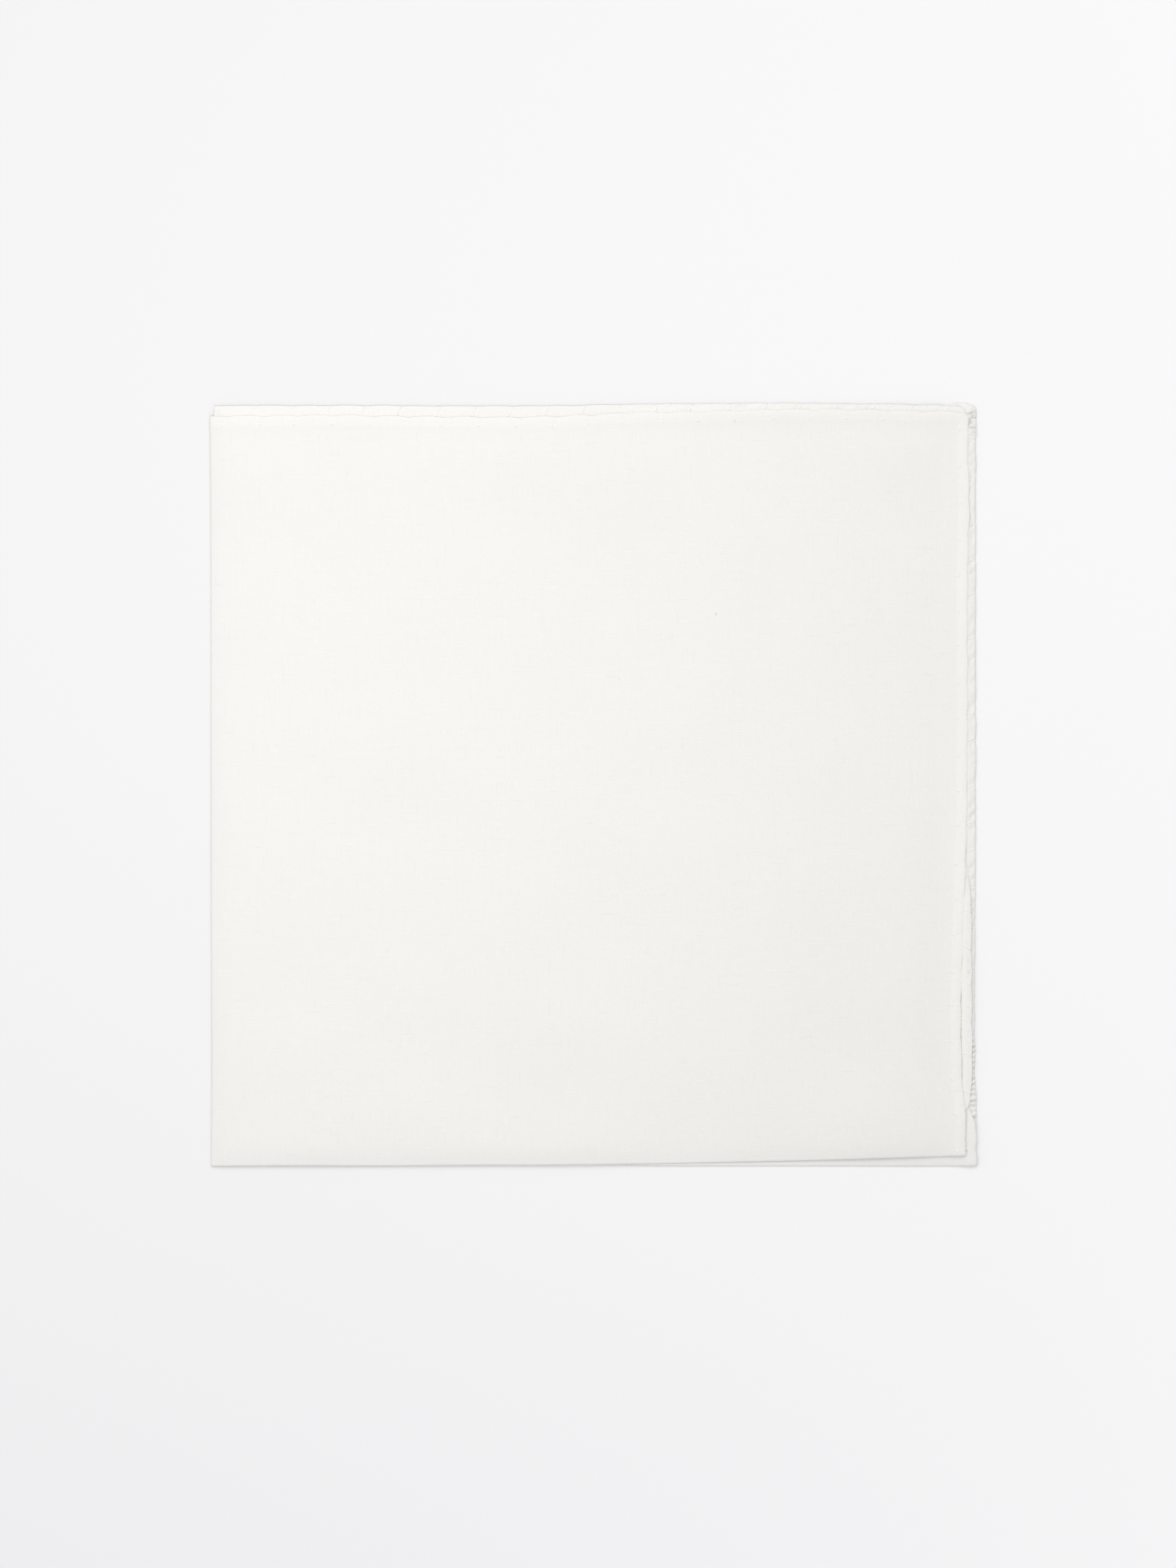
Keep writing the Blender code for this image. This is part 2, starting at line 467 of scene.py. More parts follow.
# Rolls that nothing lies on stay plump, and the ones under or between other hems are pressed flatter.
UPPER_RIGHT_HEM = HemLine(phase=1.1 * MM, seed=11, scallop=0.12 * MM, rolls=(
    RollThickness(at=-163.0, roll=0.26),
    RollThickness(at=-110.0, roll=0.26),
    RollThickness(at=-78.0, roll=0.28),
    RollThickness(at=-62.0, roll=0.42),
    RollThickness(at=-50.0, roll=0.66),
    RollThickness(at=-30.0, roll=0.62),
    RollThickness(at=-20.0, roll=0.46),
    RollThickness(at=-12.0, roll=0.36),
    RollThickness(at=0.0, roll=0.38),
    RollThickness(at=10.0, roll=0.46),
    RollThickness(at=18.0, roll=0.58),
    RollThickness(at=35.0, roll=0.50),
    RollThickness(at=55.0, roll=0.42),
    RollThickness(at=75.0, roll=0.30),
    RollThickness(at=145.0, roll=0.30),
    RollThickness(at=163.0, roll=0.26),
))
LOWER_RIGHT_FASTENED = ((10.5 * MM, 27.5 * MM), (157.0 * MM, 162.0 * MM))
LOWER_RIGHT_HEM = HemLine(
    phase=2.9 * MM, seed=12, scallop=0.12 * MM, jitter=1.6 * MM, fastened=LOWER_RIGHT_FASTENED, broad=1.3,
    rolls=(
        RollThickness(at=-163.0, roll=0.26),
        RollThickness(at=-20.0, roll=0.32),
        RollThickness(at=0.0, roll=0.40),
        RollThickness(at=12.0, roll=0.76),
        RollThickness(at=30.0, roll=0.86),
        RollThickness(at=163.0, roll=0.90),
    ))
OUTER_BACK_HEM = HemLine(phase=2.6 * MM, seed=13, scallop=0.30 * MM, rolls=(
    RollThickness(at=-163.0, roll=0.80),
    RollThickness(at=-148.0, roll=0.28),
    RollThickness(at=0.0, roll=0.24),
    RollThickness(at=10.0, roll=0.28),
    RollThickness(at=150.0, roll=0.30),
    RollThickness(at=163.0, roll=0.28),
))
INNER_BACK_HEM = HemLine(phase=0.4 * MM, seed=14, scallop=0.06 * MM, broad=1.3, relief=2.2, rolls=(
    RollThickness(at=-163.0, roll=0.17),
    RollThickness(at=-10.0, roll=0.17),
    RollThickness(at=10.0, roll=0.20),
    RollThickness(at=88.0, roll=0.22),
    RollThickness(at=98.0, roll=0.40),
    RollThickness(at=140.0, roll=0.38),
    RollThickness(at=155.0, roll=0.22),
    RollThickness(at=163.0, roll=0.20),
))


class Pit(NamedTuple):
    """A hole that the fastened thread draws into the base's back corner, in mm from its two edges."""
    across: float
    along: float
    depth: float


CORNER_PITS = (
    Pit(across=1.0, along=2.3, depth=0.75),
    Pit(across=0.5, along=3.7, depth=0.45),
    Pit(across=1.5, along=4.5, depth=0.40),
)


class Section(NamedTuple):
    """A hem's cross-section at each place."""
    rim: np.ndarray            # 0 at the very edge, 1 from the roll's middle on
    depth: np.ndarray          # from the cloth's outer face to the back of the roll
    swell: np.ndarray          # how far the roll lifts the outer face
    pull: np.ndarray           # how far the edge is drawn in


class Faces(NamedTuple):
    """Both faces of the cloth, measured outwards from its middle, and how its edges are drawn in."""
    outer: np.ndarray
    inner: np.ndarray
    drawn_p: np.ndarray
    drawn_q: np.ndarray


@dataclass(frozen=True)
class RolledHem:
    """A hem rolled onto the cloth's inner face and pinched at each stitch.

    Args:
        half_side: from a fold line to a hem edge on the open cloth.
        thickness: thickness of the cloth.
        width: width of the roll.
        plump: how far the roll swells the outer face.
        lean: how far a stitch slants along the hem from the roll's foot to its edge.
        band: width of the strip that the hem affects.
    """
    half_side: float
    thickness: float
    width: float = 2.35 * MM
    plump: float = 0.045 * MM
    lean: float = 1.0 * MM
    band: float = 4.2 * MM

    RIGHT_LINES = (UPPER_RIGHT_HEM, LOWER_RIGHT_HEM)
    BACK_LINES = (OUTER_BACK_HEM, INNER_BACK_HEM)
    ROUNDNESS = 2.0
    PINCH_WIDTH = 0.9 * MM
    PINCH_DEPTH = 0.18
    HALF_PINCH = 0.35
    PRESSED_OUT = 0.8              # how much of the swell a stitch takes away
    FURTHEST_FOOT = -0.5           # how far past its foot a stitch goes on slanting, in widths
    TWIST_PITCH = 2.6 * MM
    TWIST_SLANT = 0.9
    TWIST_DEPTH = 0.38 * MM
    TWIST_SHARPNESS = 4
    TWIST_WANDER = 2.0
    TWIST_LEVEL = 0.6
    TWIST_RANGE = 0.5
    PLUMP_ROLL = 0.75 * MM
    LEAST_ROLL = 1.2               # in thicknesses of the cloth
    CREST_END = 0.30               # where the crumpled back of the roll ends, in widths
    CREST_FADE = 0.22
    DOT_WIDTH = 0.6 * PINCH_WIDTH
    DOT_PLACE = 2.0 * MM
    DOT_DIMPLE = 0.09 * MM
    VALLEY_DEPTH = 0.03 * MM
    VALLEY_PLACE = 1.3
    VALLEY_WIDTH = 0.22
    WIDTH_WAVE = 0.06
    EDGE_PINCH = 0.5
    EDGE_SWAY = 0.7
    WOBBLE = 0.07 * MM
    WOBBLE_WAVES = 9
    CRUMPLE = 0.20 * MM
    CRUMPLE_WAVES = 7
    CRUMPLE_SQUEEZE = 1.5          # how much closer it is across the roll than along it
    CRUMPLE_LEVEL = 0.5
    CRUMPLE_RANGE = 0.6
    CORNER_DIMPLE = 0.10 * MM
    CORNER_DIMPLE_WIDTH = 1.0 * MM
    PIT_WIDTH = 0.60 * MM
    FRAY = 1.0
    FRAY_PITCH = 1.15 * MM

    # Lengths of the slow waves along a hem, and what is added to its seed for each.
    WIDTH_LENGTH = 23.0 * MM
    TWIST_LENGTH = 11.0 * MM
    GROOVE_LENGTH = 31.0 * MM
    CRUMPLE_LENGTH = 8.0 * MM
    WOBBLE_LENGTH = 37.0 * MM
    TWIST_SEED = 20
    CRUMPLE_SEED = 30
    WOBBLE_SEED = 50
    GROOVE_SEED = 60

    def round_off(self, share: np.ndarray) -> np.ndarray:
        """Height of a full, rounded section across its half width, 0 at the rim and 1 inside."""
        falling = np.clip(1.0 - share, 0.0, 1.0)
        return (1.0 - falling ** self.ROUNDNESS) ** (1.0 / self.ROUNDNESS)

    def profile(self, across: np.ndarray, roll: np.ndarray, pinch: np.ndarray) -> tuple:
        """The plain section of a roll.

        Args:
            across: distance in from the edge, in widths of the roll.
            roll: thickness of the roll.
            pinch: how strongly a stitch flattens it.

        Returns:
            The rim, the depth and the swell.
        """
        rising = self.round_off(2.0 * (1.0 - across)) * (across < 1.0)
        full = np.where(across < 0.5, 1.0, rising)
        depth = self.thickness + (roll - self.thickness) * full
        swell = self.plump * np.sin(math.pi * np.clip(across, 0.0, 1.0)) * (1.0 - self.PRESSED_OUT * pinch)
        swell = swell - self.VALLEY_DEPTH * hump(across - self.VALLEY_PLACE, self.VALLEY_WIDTH)
        return self.round_off(2.0 * across), depth, swell

    def section(self, line: HemLine, inset: np.ndarray, along: np.ndarray) -> Section:
        """The sewn section of one hem at the given places.

        Args:
            line: the hem and its stitches.
            inset: distances in from the hem's edge.
            along: places along the hem.

        Returns:
            The section at each place.
        """
        uneven = 1.0 + self.WIDTH_WAVE * Waviness(self.WIDTH_LENGTH, line.seed).along(along)
        across = inset / (self.width * line.broad * uneven)
        foot = np.clip(1.0 - across, self.FURTHEST_FOOT, 1.0) * self.lean
        pinch = line.pinch(along - foot, self.PINCH_WIDTH)
        between = line.pinch(along - foot + line.pitch / 2, self.PINCH_WIDTH)
        pinch = np.minimum(pinch + self.HALF_PINCH * between, 1.0)
        roll = line.roll(along) * (1.0 - self.PINCH_DEPTH * pinch)
        roll = roll - self.relief(line, inset, along, across, roll)
        rim, depth, swell = self.profile(across, np.maximum(roll, self.LEAST_ROLL * self.thickness), pinch)
        dot = hump(inset - self.DOT_PLACE, self.DOT_WIDTH) * line.pinch(along, self.DOT_WIDTH)
        edge_pinch = line.pinch(along - self.lean, self.PINCH_WIDTH)
        edge_pinch = self.EDGE_PINCH * edge_pinch + self.EDGE_SWAY * line.sway(along - self.lean)
        wave = Waviness(self.WOBBLE_LENGTH, line.seed + self.WOBBLE_SEED, waves=self.WOBBLE_WAVES)
        fade = 1.0 - smooth_step(inset / self.band)
        pull = (line.scallop * edge_pinch + self.WOBBLE * wave.along(along)) * fade
        return Section(rim, depth, swell - self.DOT_DIMPLE * dot, pull)

    def relief(self, line: HemLine, inset: np.ndarray, along: np.ndarray, across: np.ndarray,
               roll: np.ndarray) -> np.ndarray:
        """The dents and grooves in the back of a roll, deeper where it is plump.

        Args:
            line: the hem and its stitches.
            inset: distances in from the hem's edge.
            along: places along the hem.
            across: the distances in, in widths of the roll.
            roll: thickness of the roll.

        Returns:
            How much thinner they make the roll.
        """
        plump = line.relief * (roll - self.thickness) / self.PLUMP_ROLL
        plump = plump * (1.0 - smooth_step((across - self.CREST_END) / self.CREST_FADE))
        twist = self.grooves(line, along + self.TWIST_SLANT * inset) * (across < 1.0)
        twist = twist + self.FRAY * line.frayed(along) * np.sin(along * math.tau / self.FRAY_PITCH)
        wave = Waviness(self.CRUMPLE_LENGTH, line.seed + self.CRUMPLE_SEED, waves=self.CRUMPLE_WAVES)
        crumple = wave.at(along, self.CRUMPLE_SQUEEZE * inset) * (across < 1.0)
        crumple = np.clip(self.CRUMPLE_LEVEL - self.CRUMPLE_RANGE * crumple, 0.0, 1.0)
        return plump * (self.CRUMPLE * crumple + self.TWIST_DEPTH * twist)

    def grooves(self, line: HemLine, place: np.ndarray) -> np.ndarray:
        """Narrow slanting grooves that the twist of the roll leaves.

        Args:
            line: the hem.
            place: places along the hem, slanted with the grooves.

        Returns:
            About 1 in a groove and 0 beside it.
        """
        uneven = Waviness(self.TWIST_LENGTH, line.seed + self.TWIST_SEED).along(place)
        turn = place * math.tau / self.TWIST_PITCH + self.TWIST_WANDER * uneven
        groove = (0.5 + 0.5 * np.cos(turn)) ** self.TWIST_SHARPNESS
        strength = Waviness(self.GROOVE_LENGTH, line.seed + self.GROOVE_SEED).along(place)
        return groove * (self.TWIST_LEVEL + self.TWIST_RANGE * strength)

    def join(self, rim: np.ndarray, depth: np.ndarray, swell: np.ndarray) -> tuple:
        """Turns a section into the cloth's two faces.

        Args:
            rim: 0 at the very edge, 1 from the roll's middle on.
            depth: from the outer face to the back of the roll.
            swell: how far the roll lifts the outer face.

        Returns:
            The outer and the inner face, measured outwards from the cloth's middle.
        """
        half = self.thickness / 2
        outer = half + swell - (1.0 - rim) * (depth / 2 + swell)
        inner = half - depth + (1.0 - rim) * depth / 2
        return outer, inner

    def faces(self, p: np.ndarray, q: np.ndarray) -> Faces:
        """Both faces of the cloth at places of the open cloth.

        Args:
            p: places across the last fold.
            q: places across the first fold.

        Returns:
            The two faces, and how far each place is drawn in.
        """
        inset_p = self.half_side - np.abs(p)
        inset_q = self.half_side - np.abs(q)
        right = self.on_side(p >= 0.0, *(self.section(line, inset_p, q) for line in self.RIGHT_LINES))
        back = self.on_side(q >= 0.0, *(self.section(line, inset_q, p) for line in self.BACK_LINES))
        rim = np.minimum(right.rim, back.rim)
        depth = np.maximum(right.depth, back.depth)
        swell = np.maximum(right.swell, back.swell)
        corner = np.hypot(inset_p - self.width, inset_q - self.width)
        swell = swell - self.CORNER_DIMPLE * hump(corner, self.CORNER_DIMPLE_WIDTH)
        for pit in CORNER_PITS:
            away = np.hypot(p + self.half_side - pit.across * MM, q - self.half_side + pit.along * MM)
            hollow = hump((away / self.PIT_WIDTH) ** 2, 1.0)
            depth = np.maximum(depth - pit.depth * MM * hollow, self.thickness)
        outer, inner = self.join(rim, depth, swell)
        return Faces(outer, inner, right.pull, back.pull)

    @staticmethod
    def on_side(chosen: np.ndarray, first: Section, second: Section) -> Section:
        """The first section where chosen, and the second elsewhere."""
        return Section(*(np.where(chosen, a, b) for a, b in zip(first, second)))

    def clearances(self, layer: Layer, inset_x: np.ndarray, inset_y: np.ndarray,
                   flat_x: np.ndarray, flat_y: np.ndarray) -> tuple[np.ndarray, np.ndarray]:
        """How far a layer reaches above and below its middle.

        Args:
            layer: the layer.
            inset_x: distances in from its right edge.
            inset_y: distances in from its back edge.
            flat_x: places along the open cloth from the last fold.
            flat_y: places along the open cloth from the first fold.

        Returns:
            The reach above and the reach below.
        """
        right_line = self.RIGHT_LINES[0 if layer.across_sign > 0.0 else 1]
        back_line = self.BACK_LINES[0 if layer.along_sign > 0.0 else 1]
        unpinched = np.zeros_like(inset_x)
        right_share = inset_x / (self.width * right_line.broad)
        back_share = inset_y / (self.width * back_line.broad)
        right = self.profile(right_share, right_line.roll(layer.along_sign * flat_y), unpinched)
        back = self.profile(back_share, back_line.roll(layer.across_sign * flat_x), unpinched)
        outer, inner = self.join(
            np.minimum(right[0], back[0]), np.maximum(right[1], back[1]), np.maximum(right[2], back[2]))
        if layer.rolls_up:
            return -inner, outer
        return outer, -inner


@dataclass
class LayerStack:
    """Heights of the four layers, each laid softly on the ones below it.

    Args:
        outline: the layers' edges.
        hem: the rolled hem, whose thickness the layers rest on.
        clearance: least air between layers.
        air: further air between layers away from the hems.
        press_reach: how far in from a pressed fold the air comes back.
        cell: spacing of the places where heights are worked out.
        passes: how far a layer spans what it lies on: more passes make it stiffer.

    Attributes:
        heights: heights of the layers' middles, from the top layer to the base.
        start: the corner where the heights begin.
    """
    outline: Outline
    hem: RolledHem
    clearance: float = 0.015 * MM
    air: float = 0.20 * MM
    press_reach: float = 4.5 * MM
    cell: float = 0.5 * MM
    passes: int = 18
    heights: list[np.ndarray] = field(init=False)
    start: tuple[float, float] = field(init=False)

    MARGIN = 1.5 * MM
    SMOOTHING = 6
    SPREAD = 16
    LEAST_SHARE = 1e-9             # keeps a division by the share of cloth safe
    LAST_CELL = 1.001              # keeps a place inside the last cell
    AIR_FADE = 8.0 * MM            # how far in from a roll the further air comes up
    AIR_WAVE = 0.7
    AIR_LENGTH = 80.0 * MM
    AIR_SEED = 30

    def __post_init__(self) -> None:
        """Settles the layers from the base to the top."""
        low, high = self.outline.low, self.outline.high
        self.start = (low.x - self.MARGIN, low.y - self.MARGIN)
        x, y = np.meshgrid(
            np.arange(self.start[0], high.x + self.MARGIN, self.cell),
            np.arange(self.start[1], high.y + self.MARGIN, self.cell), indexing="ij")
        right, back = self.outline.right(y), self.outline.back(x)
        from_front = np.maximum(y - low.y, 0.0)
        from_left = np.maximum(x - low.x, 0.0)
        flat_x = from_left / (high.x - low.x) * self.hem.half_side
        flat_y = from_front / (high.y - low.y) * self.hem.half_side
        free = self.sprung(from_front) * self.sprung(from_left)
        floor = np.zeros_like(x)
        heights = []
        for layer in reversed(Layer):
            inset_x = right[layer.value - 1] - x
            inset_y = back[layer.value - 1] - y
            present = np.minimum(inset_x, inset_y) > 0.0
            above, below = self.hem.clearances(layer, inset_x, inset_y, flat_x, flat_y)
            needed = floor + below
            if layer is not Layer.BASE:
                inside = smooth_step((np.minimum(inset_x, inset_y) - self.hem.width) / self.AIR_FADE)
                wave = Waviness(self.AIR_LENGTH, seed=self.AIR_SEED + layer.value)
                uneven = 1.0 + self.AIR_WAVE * wave.at(x, y)
                needed = needed + self.clearance + self.air * uneven * inside * free
            height = self.settle(needed, present)
            heights.insert(0, height)
            floor = np.where(present, height + above, floor)
        self.heights = heights

    def sprung(self, inset: np.ndarray) -> np.ndarray:
        """How far the air has come back at distances in from a pressed fold, from 0 to 1."""
        short = np.clip(1.0 - inset / self.press_reach, 0.0, 1.0)
        return 1.0 - short * short

    def settle(self, needed: np.ndarray, present: np.ndarray) -> np.ndarray:
        """Lays a layer on the heights it needs, spanning the hollows between them.

        Args:
            needed: least height of the layer's middle.
            present: where the layer lies.

        Returns:
            Its height, carried on a little past its own edges.
        """
        weight = present.astype(float)
        share = np.maximum(self.soften(weight), self.LEAST_SHARE)
        height = needed * weight
        for _ in range(self.passes):
            height = np.maximum(needed * weight, self.soften(height) / share * weight)
        for _ in range(self.SMOOTHING):
            height = self.soften(height) / share * weight
        for _ in range(self.SPREAD):
            around = self.soften(weight)
            spread = self.soften(height * weight) / np.maximum(around, self.LEAST_SHARE)
            height = np.where(weight > 0.0, height, spread)
            weight = (around > 0.0).astype(float)
        return height

    @staticmethod
    def soften(values: np.ndarray) -> np.ndarray:
        """Evens each value out with its neighbours'.

        Args:
            values: values on a grid.

        Returns:
            The evened values.
        """
        padded = np.pad(values, 1, mode="edge")
        rows = (padded[:-2] + 2.0 * padded[1:-1] + padded[2:]) / 4.0
        return (rows[:, :-2] + 2.0 * rows[:, 1:-1] + rows[:, 2:]) / 4.0

    def at(self, x: np.ndarray, y: np.ndarray) -> list[np.ndarray]:
        """Reads the heights of the layers' middles.

        Args:
            x: places in plan.
            y: places in plan.

        Returns:
            The heights, from the top layer to the base.
        """
        count_x, count_y = self.heights[0].shape
        place_x = np.clip((x - self.start[0]) / self.cell, 0.0, count_x - self.LAST_CELL)
        place_y = np.clip((y - self.start[1]) / self.cell, 0.0, count_y - self.LAST_CELL)
        i, j = place_x.astype(int), place_y.astype(int)
        share_x, share_y = place_x - i, place_y - j
        return [
            mix(mix(z[i, j], z[i + 1, j], share_x), mix(z[i, j + 1], z[i + 1, j + 1], share_x), share_y)
            for z in self.heights
        ]


class Bend(NamedTuple):
    """How the layers turn into each other at one place."""
    centre: np.ndarray         # height of the last fold's centre line
    radius: np.ndarray         # of the last fold
    half_gap: np.ndarray       # half the height between the layers of a pair


@dataclass(frozen=True)
class QuarterFold:
    """The square laid in quarters.

    Args:
        outline: the layers' edges.
        stack: the layers' heights.
        half_side: from a fold line to a hem edge on the open cloth.
        thickness: thickness of the cloth.
        slack: how far the inner layers stop short of the last fold.
    """
    outline: Outline
    stack: LayerStack
    half_side: float
    thickness: float
    slack: float = 0.7 * MM

    LEAST_BEND = 0.05 * MM
    REFININGS = 2                  # a fold's size and how far a place has turned in it set each other

    @staticmethod
    def bend(heights: list[np.ndarray], upper_share: np.ndarray, outer_share: np.ndarray) -> Bend:
        """Works out the folds between layers.

        Args:
            heights: heights of the layers' middles, from the top layer to the base.
            upper_share: 1 on the upper pair and 0 on the lower one.
            outer_share: 1 on the top and base layers and 0 on the two between them.

        Returns:
            The folds at each place.
        """
        top, second, third, base = heights
        radius = mix((second - third) / 2, (top - base) / 2, outer_share)
        half_gap = mix((third - base) / 2, (top - second) / 2, upper_share)
        return Bend(
            mix((second + third) / 2, (top + base) / 2, outer_share),
            np.maximum(radius, QuarterFold.LEAST_BEND),
            np.maximum(half_gap, QuarterFold.LEAST_BEND),
        )

    @staticmethod
    def turn(length: np.ndarray, radius: np.ndarray) -> np.ndarray:
        """Angle still to turn at a length from the fold line: a quarter turn on it, then none."""
        return math.pi / 2 - np.minimum(np.abs(length) / radius, math.pi / 2)

    def place(self, p: np.ndarray, q: np.ndarray, out: np.ndarray) -> np.ndarray:
        """Lays places of the open cloth into the folded shape.

        Args:
            p: places across the last fold.
            q: places across the first fold.
            out: how far the place stands out of the cloth's middle towards its outer face.

        Returns:
            The points, one row each.
        """
        near_x, near_y = self.outline.from_flat(p, q, self.half_side)
        heights = self.stack.at(near_x, near_y)
        bend = self.bend(heights, np.full_like(p, 0.5), np.full_like(p, 0.5))
        for _ in range(self.REFININGS):
            turn_q = self.turn(q, bend.half_gap)
            outer_share = (1.0 + np.sign(q) * np.cos(turn_q)) / 2
            turn_p = self.turn(p, self.bend(heights, outer_share, outer_share).radius)
            upper_share = (1.0 + np.sign(p) * np.cos(turn_p)) / 2
            bend = self.bend(heights, upper_share, outer_share)
        upper = 2.0 * upper_share - 1.0
        outer = 2.0 * outer_share - 1.0

        right = by_layer(self.outline.right(near_y), upper_share, outer_share)
        back = by_layer(self.outline.back(near_x), upper_share, outer_share)
        upper_front, lower_front = self.outline.front(near_x)
        half = self.thickness / 2
        turn_x = self.outline.left(near_y) + half + (heights[0] - heights[3]) / 2
        turn_x = turn_x + self.slack * (1.0 - outer_share)
        turn_y = mix(lower_front, upper_front, upper_share) + half + bend.half_gap
        arc_p = bend.radius * math.pi / 2
        arc_q = bend.half_gap * math.pi / 2
        run_p = np.maximum(np.abs(p) - arc_p, 0.0) / (self.half_side - arc_p)
        run_q = np.maximum(np.abs(q) - arc_q, 0.0) / (self.half_side - arc_q)
        x = mix(turn_x, right, run_p) - (bend.radius + out * outer) * np.sin(turn_p)
        y = mix(turn_y, back, run_q) - (bend.half_gap + out) * np.sin(turn_q)
        middle = by_layer(self.stack.at(x, y), upper_share, outer_share)
        return np.column_stack((x, y, middle + out * outer * upper))


class Cells(NamedTuple):
    """Grid cells of one length: where they end, in mm from the fold line, and how many they are."""
    end: float
    count: int


# Cells are short where a hem shows its close stitches, its twist or its corner.
OUTER_RIGHT_CELLS = (Cells(end=35.0, count=14), Cells(end=153.0, count=30), Cells(end=HALF_SIDE, count=6))
INNER_RIGHT_CELLS = (Cells(end=75.0, count=18), Cells(end=153.0, count=15), Cells(end=HALF_SIDE, count=5))
UPPER_BACK_CELLS = (Cells(end=153.0, count=37), Cells(end=HALF_SIDE, count=5))
LOWER_BACK_CELLS = (Cells(end=150.0, count=20), Cells(end=HALF_SIDE, count=7))


@dataclass
class FlatGrid:
    """The open cloth's mesh: fine rings along the hems and a coarser grid inside them.

    Args:
        half_side: from a fold line to a hem edge.
        hem: the hem, whose width the rings follow.
        fold_zone: half width of the strip that is finely divided for a fold.
        fold_steps: faces across that half width.
        corner: distance from a corner over which the rings' points close up.
        rows: insets of the rings, in widths of the roll.

    Attributes:
        p: places of the points across the last fold.
        q: places of the points across the first fold.
        faces: numbers of each face's points.
        rim_count: how many points lie on the hem edge, and on each ring.
    """
    half_side: float
    hem: RolledHem
    fold_zone: float = 5.0 * MM
    fold_steps: int = 16
    corner: float = 8.0 * MM
    rows: tuple = (0.0, 0.04, 0.13, 0.26, 0.44, 0.62, 0.80, 0.94, 1.0, 1.08, 1.24, 1.45)
    p: np.ndarray = field(init=False)
    q: np.ndarray = field(init=False)
    faces: list = field(init=False)
    rim_count: int = field(init=False)

    FINE_PER_COARSE = 8
    FOLD_CROWDING = 1.6

    def __post_init__(self) -> None:
        """Works out the places and the faces."""
        along_p, coarse_p = self.side_stations(UPPER_BACK_CELLS, LOWER_BACK_CELLS)
        along_q, coarse_q = self.side_stations(OUTER_RIGHT_CELLS, INNER_RIGHT_CELLS)
        rings = self.ring_places(along_p, along_q)
        self.rim_count = 2 * (len(along_p) + len(along_q) - 2)
        last_ring = (len(rings) - 1) * self.rim_count
        index = self.border_index(coarse_p, coarse_q, last_ring)
        inside = index[1:-1, 1:-1]
        inside[:] = last_ring + self.rim_count + np.arange(inside.size).reshape(inside.shape)
        line_p = self.closed_up(along_p, self.hem.band)[coarse_p]
        line_q = self.closed_up(along_q, self.hem.band)[coarse_q]
        inner_p, inner_q = np.meshgrid(line_p[1:-1], line_q[1:-1], indexing="ij")
        self.p = np.concatenate([ring[0] for ring in rings] + [inner_p.ravel()])
        self.q = np.concatenate([ring[1] for ring in rings] + [inner_q.ravel()])
        self.faces = self.ring_faces(len(rings)) + self.inner_faces(index, last_ring)

    def half_places(self, cells: tuple) -> tuple[np.ndarray, np.ndarray]:
        """Divides the way from a fold line to a hem edge.

        Args:
            cells: the cells beyond the fold's own strip.

        Returns:
            The places, and which of them the inner grid uses.
        """
        share = np.linspace(0.0, 1.0, self.fold_steps + 1)
        parts = [self.fold_zone * share ** self.FOLD_CROWDING]
        start = self.fold_zone
        for end, count in cells:
            parts.append(np.linspace(start, end * MM, count * self.FINE_PER_COARSE + 1)[1:])
            start = end * MM
        places = np.concatenate(parts)
        coarse = np.arange(self.fold_steps, len(places), self.FINE_PER_COARSE)
        return places, np.concatenate((np.arange(self.fold_steps), coarse))

    def side_stations(self, ahead: tuple, behind: tuple) -> tuple[np.ndarray, np.ndarray]:
        """Divides a whole side.

        Args:
            ahead: cells from the fold line forwards.
            behind: cells from the fold line backwards.

        Returns:
            The places, and which of them the inner grid uses.
        """
        places, kept = self.half_places(ahead)
        places_behind, kept_behind = self.half_places(behind)
        fold = len(places_behind) - 1
        stations = np.concatenate((-places_behind[:0:-1], places))
        return stations, np.concatenate((fold - kept_behind[:0:-1], fold + kept))

    def closed_up(self, stations: np.ndarray, inset: float) -> np.ndarray:
        """Closes places up near the corners, so that the rings nest.

        Args:
            stations: places along a side.
            inset: the ring's distance in from the hem edge.

        Returns:
            The places along that ring.
        """
        start = self.half_side - self.corner
        beyond = np.maximum(np.abs(stations) - start, 0.0)
        return stations - np.sign(stations) * beyond * inset / self.corner

    def ring_places(self, along_p: np.ndarray, along_q: np.ndarray) -> list[tuple[np.ndarray, np.ndarray]]:
        """Lays out the rings, each once round the square.

        Args:
            along_p: places along the back and front sides.
            along_q: places along the right and left sides.

        Returns:
            P and q of every ring's points, from the hem edge inwards.
        """
        insets = [row * self.hem.width for row in self.rows] + [self.hem.band]
        rings = []
        for inset in insets:
            line_p, line_q = self.closed_up(along_p, inset), self.closed_up(along_q, inset)
            level_p = np.full(len(line_q) - 1, self.half_side - inset)
            level_q = np.full(len(line_p) - 1, self.half_side - inset)
            rings.append((
                np.concatenate((level_p, line_p[:0:-1], -level_p, line_p[:-1])),
                np.concatenate((line_q[:-1], level_q, line_q[:0:-1], -level_q)),
            ))
        return rings

